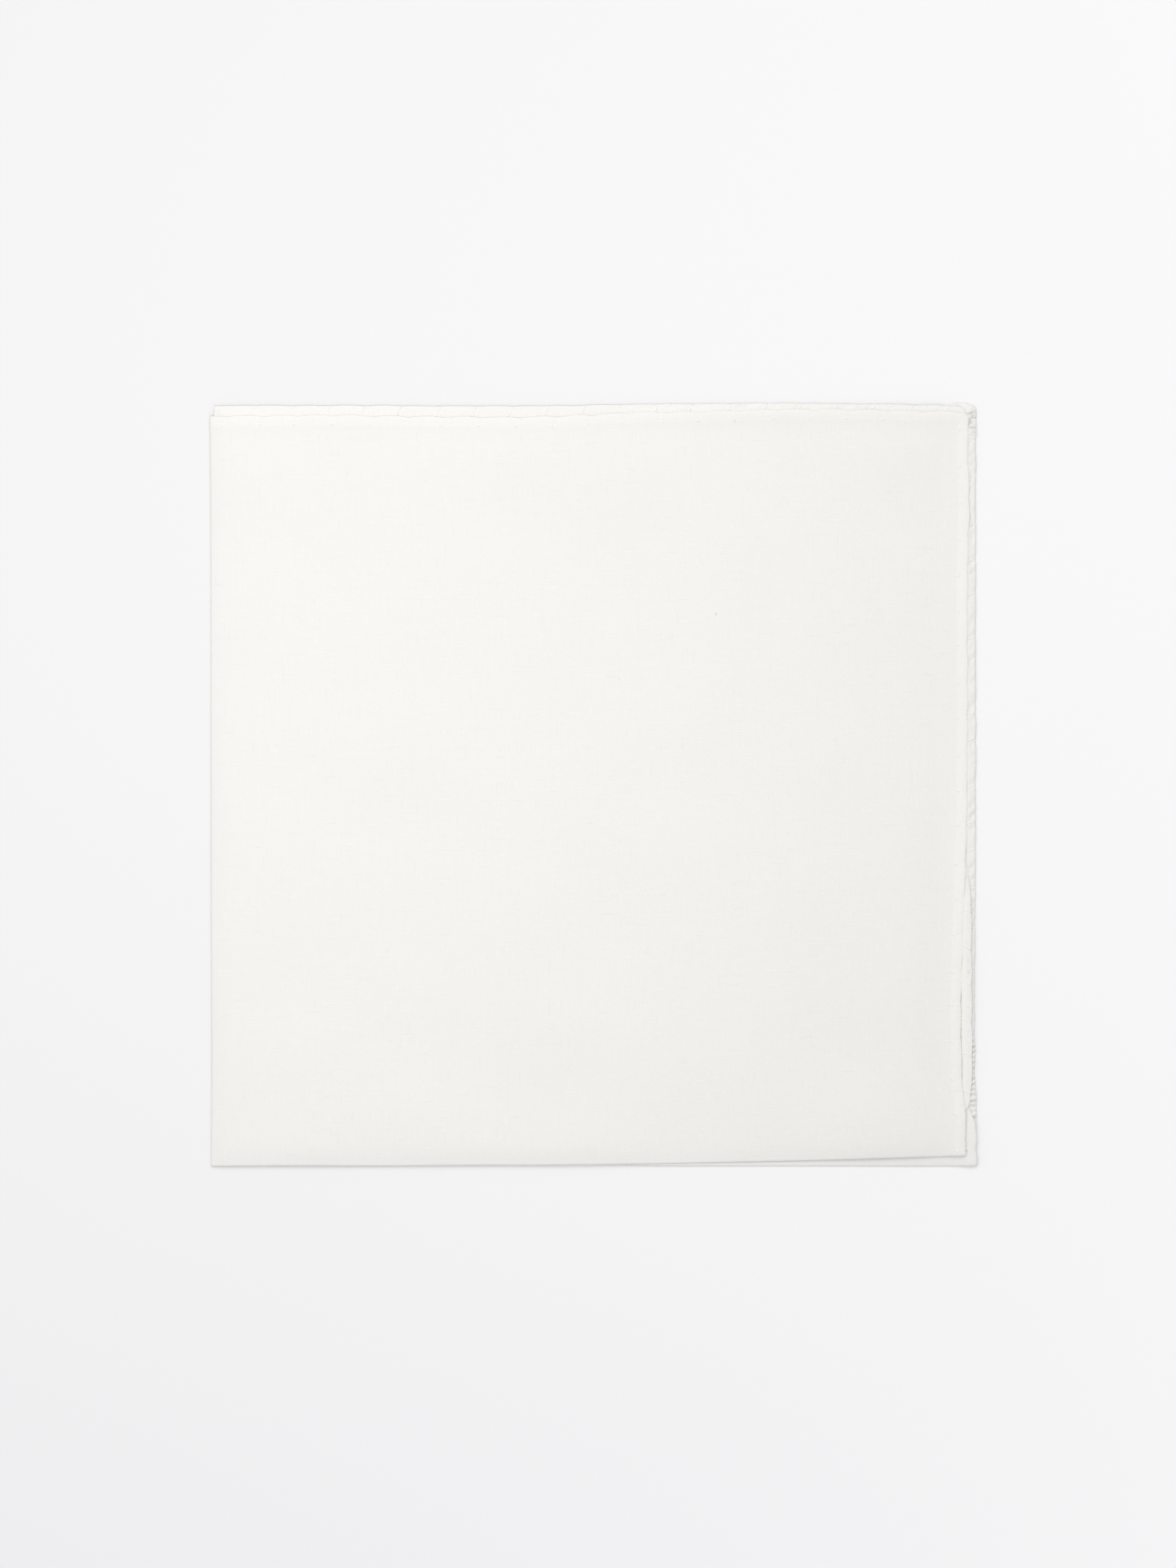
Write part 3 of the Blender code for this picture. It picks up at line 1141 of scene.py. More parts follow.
    def border_index(self, coarse_p: np.ndarray, coarse_q: np.ndarray, last_ring: int) -> np.ndarray:
        """Numbers of the inner grid's points, filled in along its border, which is the last ring.

        Args:
            coarse_p: which stations of the back and front sides the grid's lines lie on.
            coarse_q: which stations of the right and left sides they lie on.
            last_ring: number of the last ring's first point.

        Returns:
            The numbers, one row for each line across.
        """
        per_p, per_q = coarse_p[-1], coarse_q[-1]
        index = np.zeros((len(coarse_p), len(coarse_q)), dtype=int)
        index[-1, :] = last_ring + coarse_q
        index[:, -1] = last_ring + per_q + per_p - coarse_p
        index[0, :] = last_ring + per_q + per_p + per_q - coarse_q
        index[:-1, 0] = last_ring + per_q + per_p + per_q + coarse_p[:-1]
        index[-1, 0] = last_ring
        return index

    def ring_faces(self, ring_count: int) -> list[tuple[int, ...]]:
        """Joins neighbouring rings.

        Args:
            ring_count: how many rings there are.

        Returns:
            Numbers of each face's points.
        """
        here = np.arange(self.rim_count)
        ahead = np.roll(here, -1)
        faces = []
        for ring in range(ring_count - 1):
            base = ring * self.rim_count
            above = base + self.rim_count
            faces += list(zip(base + here, base + ahead, above + ahead, above + here))
        return faces

    def inner_faces(self, index: np.ndarray, last_ring: int) -> list[tuple[int, ...]]:
        """Makes the inner grid's faces; along its border each meets several points of the last ring.

        Args:
            index: numbers of the grid's points.
            last_ring: number of the last ring's first point.

        Returns:
            Numbers of each face's points.
        """
        last_i, last_j = index.shape[0] - 2, index.shape[1] - 2
        faces = []
        for i in range(last_i + 1):
            for j in range(last_j + 1):
                corners = (index[i, j], index[i + 1, j], index[i + 1, j + 1], index[i, j + 1])
                if 0 < i < last_i and 0 < j < last_j:
                    faces.append(corners)
                else:
                    faces += self.border_faces(corners, last_ring)
        return faces

    def border_faces(self, corners: tuple[int, ...], last_ring: int) -> list[tuple[int, ...]]:
        """Fills one cell of the border with faces fanned out from its inner corners.

        Args:
            corners: numbers of the cell's corners.
            last_ring: number of the last ring's first point.

        Returns:
            Numbers of each face's points.
        """
        first_inner = last_ring + self.rim_count
        outline = []
        for start, end in zip(corners, corners[1:] + corners[:1]):
            outline.append(start)
            step = (end - start) % self.rim_count
            if max(start, end) < first_inner and 1 < step <= self.FINE_PER_COARSE:
                between = (start - last_ring + np.arange(1, step)) % self.rim_count
                outline += list(last_ring + between)
        if len(outline) == 4:
            return [tuple(outline)]
        while outline[0] < first_inner or outline[-1] >= first_inner:
            outline = outline[1:] + outline[:1]
        if outline[1] < first_inner:
            return [(outline[0], a, b) for a, b in zip(outline[1:], outline[2:])]
        left, right, border = outline[0], outline[1], outline[2:]
        half = len(border) // 2
        faces = [(right, a, b) for a, b in zip(border[:half], border[1:half + 1])]
        faces.append((right, border[half], left))
        return faces + [(left, a, b) for a, b in zip(border[half:], border[half + 1:])]


@dataclass
class NodeBoard:
    """Adds nodes to a tree and links them.

    Args:
        tree: the shader or geometry tree.
    """
    tree: bpy.types.NodeTree

    def add(self, kind: str, inputs: dict[Any, Any] | None = None, **settings: Any) -> bpy.types.Node:
        """Adds a node.

        Args:
            kind: the node's type.
            inputs: for an input's name or number, its value or the socket that feeds it.
            settings: the node's own options.

        Returns:
            The node.
        """
        node = self.tree.nodes.new(kind)
        for name, value in settings.items():
            setattr(node, name, value)
        for key, value in (inputs or {}).items():
            if isinstance(value, bpy.types.NodeSocket):
                self.tree.links.new(value, node.inputs[key])
            else:
                node.inputs[key].default_value = value
        return node

    def sum(self, operation: str, *values: Any) -> bpy.types.NodeSocket:
        """Result of a sum on numbers or sockets."""
        return self.add("ShaderNodeMath", dict(enumerate(values)), operation=operation).outputs[0]

    def noise(self, vector: Any, scale: float, detail: float = 2.0) -> bpy.types.NodeSocket:
        """Noise from 0 to 1 over a vector."""
        inputs = {"Vector": vector, "Scale": scale, "Detail": detail}
        return self.add("ShaderNodeTexNoise", inputs).outputs["Fac"]

    def stretched(self, vector: Any, stretch: tuple[float, float, float]) -> bpy.types.NodeSocket:
        """A vector times a stretch."""
        node = self.add("ShaderNodeVectorMath", {0: vector, 1: stretch}, operation="MULTIPLY")
        return node.outputs["Vector"]


def new_finish(name: str) -> tuple[bpy.types.Material, NodeBoard, bpy.types.Node]:
    """Starts a material.

    Args:
        name: name of the material.

    Returns:
        The material, the board for its nodes, and its shader.
    """
    material = bpy.data.materials.new(name)
    material.use_nodes = True
    return material, NodeBoard(material.node_tree), material.node_tree.nodes["Principled BSDF"]


class Fleck(NamedTuple):
    """A tiny dark fleck in the cloth: its place in mm across both folds, and how much darker it is."""
    across: float
    along: float
    tint: float


class SlubRange(NamedTuple):
    """Where the noise makes thick or thin places of a thread: from its start, and fully at its end."""
    start: float
    end: float
    sign: float


SLUB_RANGES = (SlubRange(start=0.70, end=0.80, sign=1.0), SlubRange(start=0.30, end=0.20, sign=-1.0))
FLECKS = (Fleck(across=109.2, along=119.2, tint=0.20), Fleck(across=88.3, along=105.6, tint=0.07))


@dataclass(frozen=True)
class CottonLawn:
    """Fine white cotton in plain weave, a little lighter where it is rolled: partly its denser cloth, partly
    a painted highlight on the hems' bulge.

    Args:
        side: side of the open cloth, which its UV map spans.
        hem_width: width of the rolled hem.
        colour: colour of the cloth.
        thread_pitch: from thread to thread.
        weave_height: height of the weave.
        streak_length: length of the slow streaks along the threads.
        streak_contrast: how much those streaks vary in tone.
        mottle_contrast: how much the cloth varies in tone from place to place.
        slub_length: length of the thick places in the thread.
        slub_gain: how much lighter a thick place is, and how much darker a thin one.
        hem_tone_and_highlight: how much lighter the rolled hems are, partly for their denser cloth and
            partly as a painted highlight.
        fold_shade: painted shade: how much darker the cloth is painted along a pressed fold.
        fold_shade_reach: how far from a fold that painted shade fades.
        fleck_size: how far a fleck reaches from its middle.
        roughness: mean roughness.
    """
    side: float
    hem_width: float
    colour: tuple = (0.838, 0.827, 0.797)
    thread_pitch: float = 0.32 * MM
    weave_height: float = 0.045 * MM
    streak_length: float = 30.0 * MM
    streak_contrast: float = 0.030
    mottle_contrast: float = 0.018
    slub_length: float = 4.0 * MM
    slub_gain: float = 0.016
    # the hems' lighter tone is partly a painted highlight on their bulge
    hem_tone_and_highlight: float = 0.024
    # painted shade along the pressed folds
    fold_shade: float = 0.035
    fold_shade_reach: float = 2.4 * MM
    fleck_size: float = 0.45 * MM
    roughness: float = 0.88

    CROWN = 0.6
    WEAVE_LEVEL = 0.6
    WANDER = 2.0                   # how far the threads wander
    WANDER_SCALE = 90.0
    MOTTLE_SCALE = 14.0
    MOTTLE_DETAIL = 4.0
    ROUGHNESS_RANGE = 0.1
    STREAK_RELIEF = 0.8
    SLUB_RELIEF = 0.3
    SLUB_WIDTH = 1.6               # in thread pitches
    HEM_FADE = 0.001               # as a share of the open cloth's side
    BUMP = 0.7
    SPECULAR = 0.2
    SHEEN = 0.12
    SHEEN_ROUGHNESS = 0.5

    def material(self) -> bpy.types.Material:
        """Builds the material.

        Returns:
            The material.
        """
        material, board, shader = new_finish("cotton_lawn")
        flat = board.add("ShaderNodeUVMap", uv_map=FLAT_MAP).outputs["UV"]
        streaks = self.streaks(board, flat)
        links = material.node_tree.links
        links.new(self.tinted(board, flat, streaks), shader.inputs["Base Color"])
        smoothest = self.roughness - self.ROUGHNESS_RANGE / 2
        rough = board.sum("MULTIPLY_ADD", streaks, self.ROUGHNESS_RANGE, smoothest)
        links.new(rough, shader.inputs["Roughness"])
        weave = self.weave(board, flat)
        height = board.sum("MULTIPLY_ADD", streaks, self.STREAK_RELIEF, weave)
        height = board.sum("MULTIPLY_ADD", self.slubs(board, flat), self.SLUB_RELIEF, height)
        relief = {"Height": height, "Distance": self.weave_height, "Strength": self.BUMP}
        bump = board.add("ShaderNodeBump", relief)
        links.new(bump.outputs["Normal"], shader.inputs["Normal"])
        shader.inputs["Specular IOR Level"].default_value = self.SPECULAR
        shader.inputs["Sheen Weight"].default_value = self.SHEEN
        shader.inputs["Sheen Roughness"].default_value = self.SHEEN_ROUGHNESS
        return material

    def streaks(self, board: NodeBoard, flat: bpy.types.NodeSocket) -> bpy.types.NodeSocket:
        """Slow streaks of both sets of threads, even along a thread and uneven across.

        Args:
            board: the material's nodes.
            flat: places on the open cloth.

        Returns:
            Streaks from 0 to 1.
        """
        threads = self.side / self.thread_pitch
        lengths = self.side / self.streak_length
        across = board.noise(board.stretched(flat, (threads / 2.0, lengths, 1.0)), 1.0)
        along = board.noise(board.stretched(flat, (lengths, threads / 2.0, 1.0)), 1.0)
        return board.sum("MULTIPLY", board.sum("ADD", across, along), 0.5)

    def slubs(self, board: NodeBoard, flat: bpy.types.NodeSocket) -> bpy.types.NodeSocket:
        """Short thick and thin places of single threads.

        Args:
            board: the material's nodes.
            flat: places on the open cloth.

        Returns:
            1 on a thick place, -1 on a thin one, else 0.
        """
        fine = self.side / (self.SLUB_WIDTH * self.thread_pitch)
        long = self.side / self.slub_length
        total = 0.0
        for stretch in ((fine, long, 1.0), (long, fine, 1.0)):
            chance = board.noise(board.stretched(flat, stretch), 1.0, detail=0.0)
            for start, end, sign in SLUB_RANGES:
                ramp = {"Value": chance, "From Min": start, "From Max": end}
                mark = board.add("ShaderNodeMapRange", ramp, interpolation_type="SMOOTHSTEP")
                total = board.sum("MULTIPLY_ADD", mark.outputs["Result"], sign, total)
        return total

    def fold_shade_mask(self, board: NodeBoard, flat: bpy.types.NodeSocket) -> bpy.types.NodeSocket:
        """Marks where shade is painted along the pressed folds.

        Args:
            board: the material's nodes.
            flat: places on the open cloth.

        Returns:
            1 on a fold, fading out on both sides of it.
        """
        split = board.add("ShaderNodeSeparateXYZ", {0: flat})
        shares = []
        for axis in ("X", "Y"):
            away = board.sum("ABSOLUTE", board.sum("SUBTRACT", split.outputs[axis], 0.5))
            shares.append(board.sum("EXPONENT", board.sum("MULTIPLY", away, -self.side / self.fold_shade_reach)))
        return board.sum("MAXIMUM", *shares)

    def flecks(self, board: NodeBoard, flat: bpy.types.NodeSocket) -> bpy.types.NodeSocket:
        """Marks the flecks.

        Args:
            board: the material's nodes.
            flat: places on the open cloth.

        Returns:
            A fleck's tint in its middle, and 0 beside it.
        """
        total = 0.0
        for fleck in FLECKS:
            place = (fleck.across * MM / self.side + 0.5, fleck.along * MM / self.side + 0.5, 0.0)
            away = board.add("ShaderNodeVectorMath", {0: flat, 1: place}, operation="DISTANCE")
            ramp = {"Value": away.outputs["Value"], "From Min": self.fleck_size / self.side, "From Max": 0.0}
            mark = board.add("ShaderNodeMapRange", ramp, interpolation_type="SMOOTHSTEP")
            total = board.sum("MULTIPLY_ADD", mark.outputs["Result"], fleck.tint, total)
        return total

    def weave(self, board: NodeBoard, flat: bpy.types.NodeSocket) -> bpy.types.NodeSocket:
        """Makes the plain weave's relief.

        Args:
            board: the material's nodes.
            flat: places on the open cloth.

        Returns:
            Heights from about 0 to 1.
        """
        wander = board.noise(board.stretched(flat, (self.WANDER_SCALE, self.WANDER_SCALE, 1.0)), 1.0)
        split = board.add("ShaderNodeSeparateXYZ", {0: flat})
        turn = math.pi * self.side / self.thread_pitch
        sines = []
        for axis in ("X", "Y"):
            drift = board.sum("MULTIPLY", wander, self.WANDER)
            angle = board.sum("MULTIPLY_ADD", split.outputs[axis], turn, drift)
            sines.append(board.sum("SINE", angle))
        warp, weft = sines
        over = board.sum("MULTIPLY", board.sum("SIGN", warp), weft)
        under = board.sum("MULTIPLY", board.sum("SIGN", weft), warp)
        warp_height = board.sum("MULTIPLY_ADD", over, self.CROWN, board.sum("ABSOLUTE", warp))
        weft_height = board.sum("MULTIPLY_ADD", under, -self.CROWN, board.sum("ABSOLUTE", weft))
        return board.sum("MULTIPLY", board.sum("MAXIMUM", warp_height, weft_height), self.WEAVE_LEVEL)

    def hem_share(self, board: NodeBoard, flat: bpy.types.NodeSocket) -> bpy.types.NodeSocket:
        """Marks the rolled hems.

        Args:
            board: the material's nodes.
            flat: places on the open cloth.

        Returns:
            1 on them and 0 inside them.
        """
        centred = board.add("ShaderNodeVectorMath", {0: flat, 1: (0.5, 0.5, 0.0)}, operation="SUBTRACT")
        size = board.add("ShaderNodeVectorMath", {0: centred.outputs["Vector"]}, operation="ABSOLUTE")
        split = board.add("ShaderNodeSeparateXYZ", {0: size.outputs["Vector"]})
        reach = board.sum("MAXIMUM", split.outputs["X"], split.outputs["Y"])
        edge = 0.5 - self.hem_width / self.side
        ramp = {"Value": reach, "From Min": edge - self.HEM_FADE, "From Max": edge + self.HEM_FADE}
        return board.add("ShaderNodeMapRange", ramp, interpolation_type="SMOOTHSTEP").outputs["Result"]

    def tinted(self, board: NodeBoard, flat: bpy.types.NodeSocket,
               streaks: bpy.types.NodeSocket) -> bpy.types.NodeSocket:
        """Gives the cloth's colour its slight unevenness, its painted shade along the folds and its lighter
        hems.

        Args:
            board: the material's nodes.
            flat: places on the open cloth.
            streaks: the slow streaks, from 0 to 1.

        Returns:
            The colour.
        """
        spread = board.stretched(flat, (self.MOTTLE_SCALE, self.MOTTLE_SCALE, 1.0))
        mottle = board.noise(spread, 1.0, detail=self.MOTTLE_DETAIL)
        level = board.sum("MULTIPLY_ADD", mottle, self.mottle_contrast, 1.0 - self.mottle_contrast / 2)
        level = board.sum("MULTIPLY_ADD", streaks, self.streak_contrast, level)
        level = board.sum("SUBTRACT", level, self.streak_contrast / 2)
        # partly painted highlight: the rolled hems are made lighter, partly for their denser cloth and
        # partly for the light on their bulge
        level = board.sum("MULTIPLY_ADD", self.hem_share(board, flat), self.hem_tone_and_highlight, level)
        level = board.sum("MULTIPLY_ADD", self.slubs(board, flat), self.slub_gain, level)
        # painted shade: the cloth is made darker along the pressed folds, where the folds' shading falls
        level = board.sum("MULTIPLY_ADD", self.fold_shade_mask(board, flat), -self.fold_shade, level)
        level = board.sum("SUBTRACT", level, self.flecks(board, flat))
        colour = board.add("ShaderNodeVectorMath", {0: self.colour, "Scale": level}, operation="SCALE")
        return colour.outputs["Vector"]


@dataclass(frozen=True)
class SewingThread:
    """White cotton sewing thread.

    Args:
        colour: colour of the thread.
        ply_pitch: length of one turn of its twist.
    """
    colour: tuple = (0.94, 0.93, 0.90)
    ply_pitch: float = 0.35 * MM

    FIBRES_PER_PLY = 2.0
    FIBRE_HEIGHT = 0.03 * MM
    LEAST_TONE = 0.94
    TONE_RANGE = 0.12
    LEAST_ROUGHNESS = 0.6
    ROUGHNESS_RANGE = 0.2
    BUMP = 0.8
    SPECULAR = 0.3

    def material(self) -> bpy.types.Material:
        """Builds the material.

        Returns:
            The material.
        """
        material, board, shader = new_finish("sewing_thread")
        place = board.add("ShaderNodeTexCoord").outputs["Object"]
        fibre = board.noise(place, 1.0 / self.ply_pitch * self.FIBRES_PER_PLY)
        level = board.sum("MULTIPLY_ADD", fibre, self.TONE_RANGE, self.LEAST_TONE)
        colour = board.add("ShaderNodeVectorMath", {0: self.colour, "Scale": level}, operation="SCALE")
        links = material.node_tree.links
        links.new(colour.outputs["Vector"], shader.inputs["Base Color"])
        rough = board.sum("MULTIPLY_ADD", fibre, self.ROUGHNESS_RANGE, self.LEAST_ROUGHNESS)
        links.new(rough, shader.inputs["Roughness"])
        relief = {"Height": fibre, "Distance": self.FIBRE_HEIGHT, "Strength": self.BUMP}
        bump = board.add("ShaderNodeBump", relief)
        links.new(bump.outputs["Normal"], shader.inputs["Normal"])
        shader.inputs["Specular IOR Level"].default_value = self.SPECULAR
        return material


@dataclass(frozen=True)
class StudioPaper:
    """Smooth pale paper with painted light that reshapes the overhead light's falloff over the floor.

    Args:
        colour: colour under the scarf's middle.
        painted_light_x: painted light, the change of tone for each metre to the right.
        painted_light_y: painted light, the change of tone for each metre to the back.
        painted_spread_x: further painted light for each square metre sideways.
        painted_spread_y: further painted light for each square metre front and back.
        cool: how much bluer it gets for each metre to the front.
        reach: how far from the middle the painted light goes on.
    """
    colour: tuple = (0.845, 0.845, 0.845)
    # painted light: tone changes that reshape the overhead light's falloff on the floor
    painted_light_x: float = 0.617
    painted_light_y: float = -0.213
    painted_spread_x: float = 2.53
    painted_spread_y: float = 1.81
    cool: float = 0.10
    reach: float = 170.0 * MM

    GRAIN = 0.8 * MM
    GRAIN_CONTRAST = 0.006
    GRAIN_DETAIL = 4.0
    GRAIN_HEIGHT = 0.02 * MM
    BUMP = 0.3
    ROUGHNESS = 0.95
    SPECULAR = 0.0

    def material(self) -> bpy.types.Material:
        """Builds the material.

        Returns:
            The material.
        """
        material, board, shader = new_finish("studio_paper")
        place = board.add("ShaderNodeTexCoord").outputs["Object"]
        split = board.add("ShaderNodeSeparateXYZ", {0: place})
        level = 1.0
        # painted light: the tone rises to the right and away from the middle and falls to the back,
        # reshaping the overhead light's falloff
        for axis, drift, lift in (("X", self.painted_light_x, self.painted_spread_x), ("Y", self.painted_light_y, self.painted_spread_y)):
            near = board.sum("MINIMUM", board.sum("MAXIMUM", split.outputs[axis], -self.reach), self.reach)
            level = board.sum("MULTIPLY_ADD", near, drift, level)
            level = board.sum("MULTIPLY_ADD", board.sum("MULTIPLY", near, near), lift, level)
        grain = board.noise(place, 1.0 / self.GRAIN, detail=self.GRAIN_DETAIL)
        level = board.sum("MULTIPLY_ADD", grain, self.GRAIN_CONTRAST, level)
        level = board.sum("SUBTRACT", level, self.GRAIN_CONTRAST / 2)
        ahead = board.sum("MAXIMUM", board.sum("MULTIPLY", near, -1.0), 0.0)
        blue = board.sum("MULTIPLY_ADD", ahead, self.cool, level)
        tones = board.add("ShaderNodeCombineXYZ", {"X": level, "Y": level, "Z": blue}).outputs["Vector"]
        colour = board.add("ShaderNodeVectorMath", {0: tones, 1: self.colour}, operation="MULTIPLY")
        material.node_tree.links.new(colour.outputs["Vector"], shader.inputs["Base Color"])
        relief = {"Height": grain, "Distance": self.GRAIN_HEIGHT, "Strength": self.BUMP}
        bump = board.add("ShaderNodeBump", relief)
        material.node_tree.links.new(bump.outputs["Normal"], shader.inputs["Normal"])
        shader.inputs["Roughness"].default_value = self.ROUGHNESS
        shader.inputs["Specular IOR Level"].default_value = self.SPECULAR
        return material


@dataclass
class FoldedCloth:
    """The hemmed square, folded in quarters.

    Args:
        fold: the folded shape.
        hem: the rolled hem.
        finish: the cloth's material.
    """
    fold: QuarterFold
    hem: RolledHem
    finish: CottonLawn

    CORNER_ZONE = 2.6 * MM
    CORNER_ROUNDNESS = 0.8

    def rounded(self, p: np.ndarray, q: np.ndarray) -> tuple[np.ndarray, np.ndarray]:
        """Draws the square's four corners in to round them.

        Args:
            p: places across the last fold.
            q: places across the first fold.

        Returns:
            The places drawn in.
        """
        start = self.fold.half_side - self.CORNER_ZONE
        a = np.clip((np.abs(p) - start) / self.CORNER_ZONE, 0.0, 1.0)
        b = np.clip((np.abs(q) - start) / self.CORNER_ZONE, 0.0, 1.0)
        short_p = self.CORNER_ZONE * a * (1.0 - np.sqrt(1.0 - self.CORNER_ROUNDNESS * b * b / 2.0))
        short_q = self.CORNER_ZONE * b * (1.0 - np.sqrt(1.0 - self.CORNER_ROUNDNESS * a * a / 2.0))
        return p - np.sign(p) * short_p, q - np.sign(q) * short_q

    def surface(self, p: np.ndarray, q: np.ndarray) -> tuple:
        """Where places of the open cloth go once the hems are sewn.

        Args:
            p: places across the last fold.
            q: places across the first fold.

        Returns:
            The drawn-in places and both faces.
        """
        faces = self.hem.faces(p, q)
        drawn_p, drawn_q = self.rounded(p, q)
        drawn_p = drawn_p - np.sign(p) * faces.drawn_p
        drawn_q = drawn_q - np.sign(q) * faces.drawn_q
        return drawn_p, drawn_q, faces

    def build(self) -> bpy.types.Object:
        """Makes the cloth as one closed sheet.

        Returns:
            The cloth's object.
        """
        grid = FlatGrid(self.fold.half_side, self.hem)
        p, q, faces = self.surface(grid.p, grid.q)
        outer = self.fold.place(p, q, faces.outer)
        inner = self.fold.place(p, q, faces.inner)[grid.rim_count:]
        count = len(outer)
        under = np.arange(count)
        under[grid.rim_count:] = count + np.arange(len(inner))
        polygons = grid.faces + [tuple(under[list(face)][::-1]) for face in grid.faces]
        mesh = bpy.data.meshes.new("cotton_cloth")
        mesh.from_pydata(np.concatenate((outer, inner)), [], polygons)
        mesh.shade_smooth()
        flat = np.column_stack((grid.p, grid.q)) / (2.0 * self.fold.half_side) + 0.5
        self.map_faces(mesh, np.concatenate((flat, flat[grid.rim_count:])))
        cloth = new_object("cotton_cloth", mesh)
        mesh.materials.append(self.finish.material())
        return cloth

    @staticmethod
    def map_faces(mesh: bpy.types.Mesh, flat: np.ndarray) -> None:
        """Gives the mesh its UV map.

        Args:
            mesh: the cloth's mesh.
            flat: each vertex's place on the open cloth, from 0 to 1.
        """
        vertex = np.empty(len(mesh.loops), dtype=np.int32)
        mesh.loops.foreach_get("vertex_index", vertex)
        layer = mesh.uv_layers.new(name=FLAT_MAP)
        layer.uv.foreach_set("vector", flat[vertex].astype(np.float32).ravel())


class ThreadStep(NamedTuple):
    """One point of a stitch, in mm: along the hem, in from its edge, and out of the face."""
    along: float
    inset: float
    lift: float
    outer_face: bool


# A stitch catches the cloth on its outer face at the roll's foot, then slants over the roll's back
# to the edge, where it is drawn in.
STITCH = (
    ThreadStep(along=-0.42, inset=2.10, lift=-0.12, outer_face=True),
    ThreadStep(along=-0.20, inset=2.05, lift=0.06, outer_face=True),
    ThreadStep(along=0.08, inset=1.98, lift=0.12, outer_face=True),
    ThreadStep(along=0.36, inset=1.91, lift=0.06, outer_face=True),
    ThreadStep(along=0.56, inset=1.86, lift=-0.14, outer_face=True),
    ThreadStep(along=0.10, inset=2.60, lift=-0.10, outer_face=False),
    ThreadStep(along=0.00, inset=2.40, lift=0.03, outer_face=False),
    ThreadStep(along=0.16, inset=2.00, lift=0.04, outer_face=False),
    ThreadStep(along=0.35, inset=1.50, lift=0.03, outer_face=False),
    ThreadStep(along=0.56, inset=1.00, lift=0.03, outer_face=False),
    ThreadStep(along=0.78, inset=0.50, lift=0.03, outer_face=False),
    ThreadStep(along=0.92, inset=0.18, lift=0.03, outer_face=False),
    ThreadStep(along=1.00, inset=0.02, lift=0.02, outer_face=False),
    ThreadStep(along=1.04, inset=0.22, lift=0.02, outer_face=True),
    ThreadStep(along=1.10, inset=0.50, lift=-0.12, outer_face=True),
)


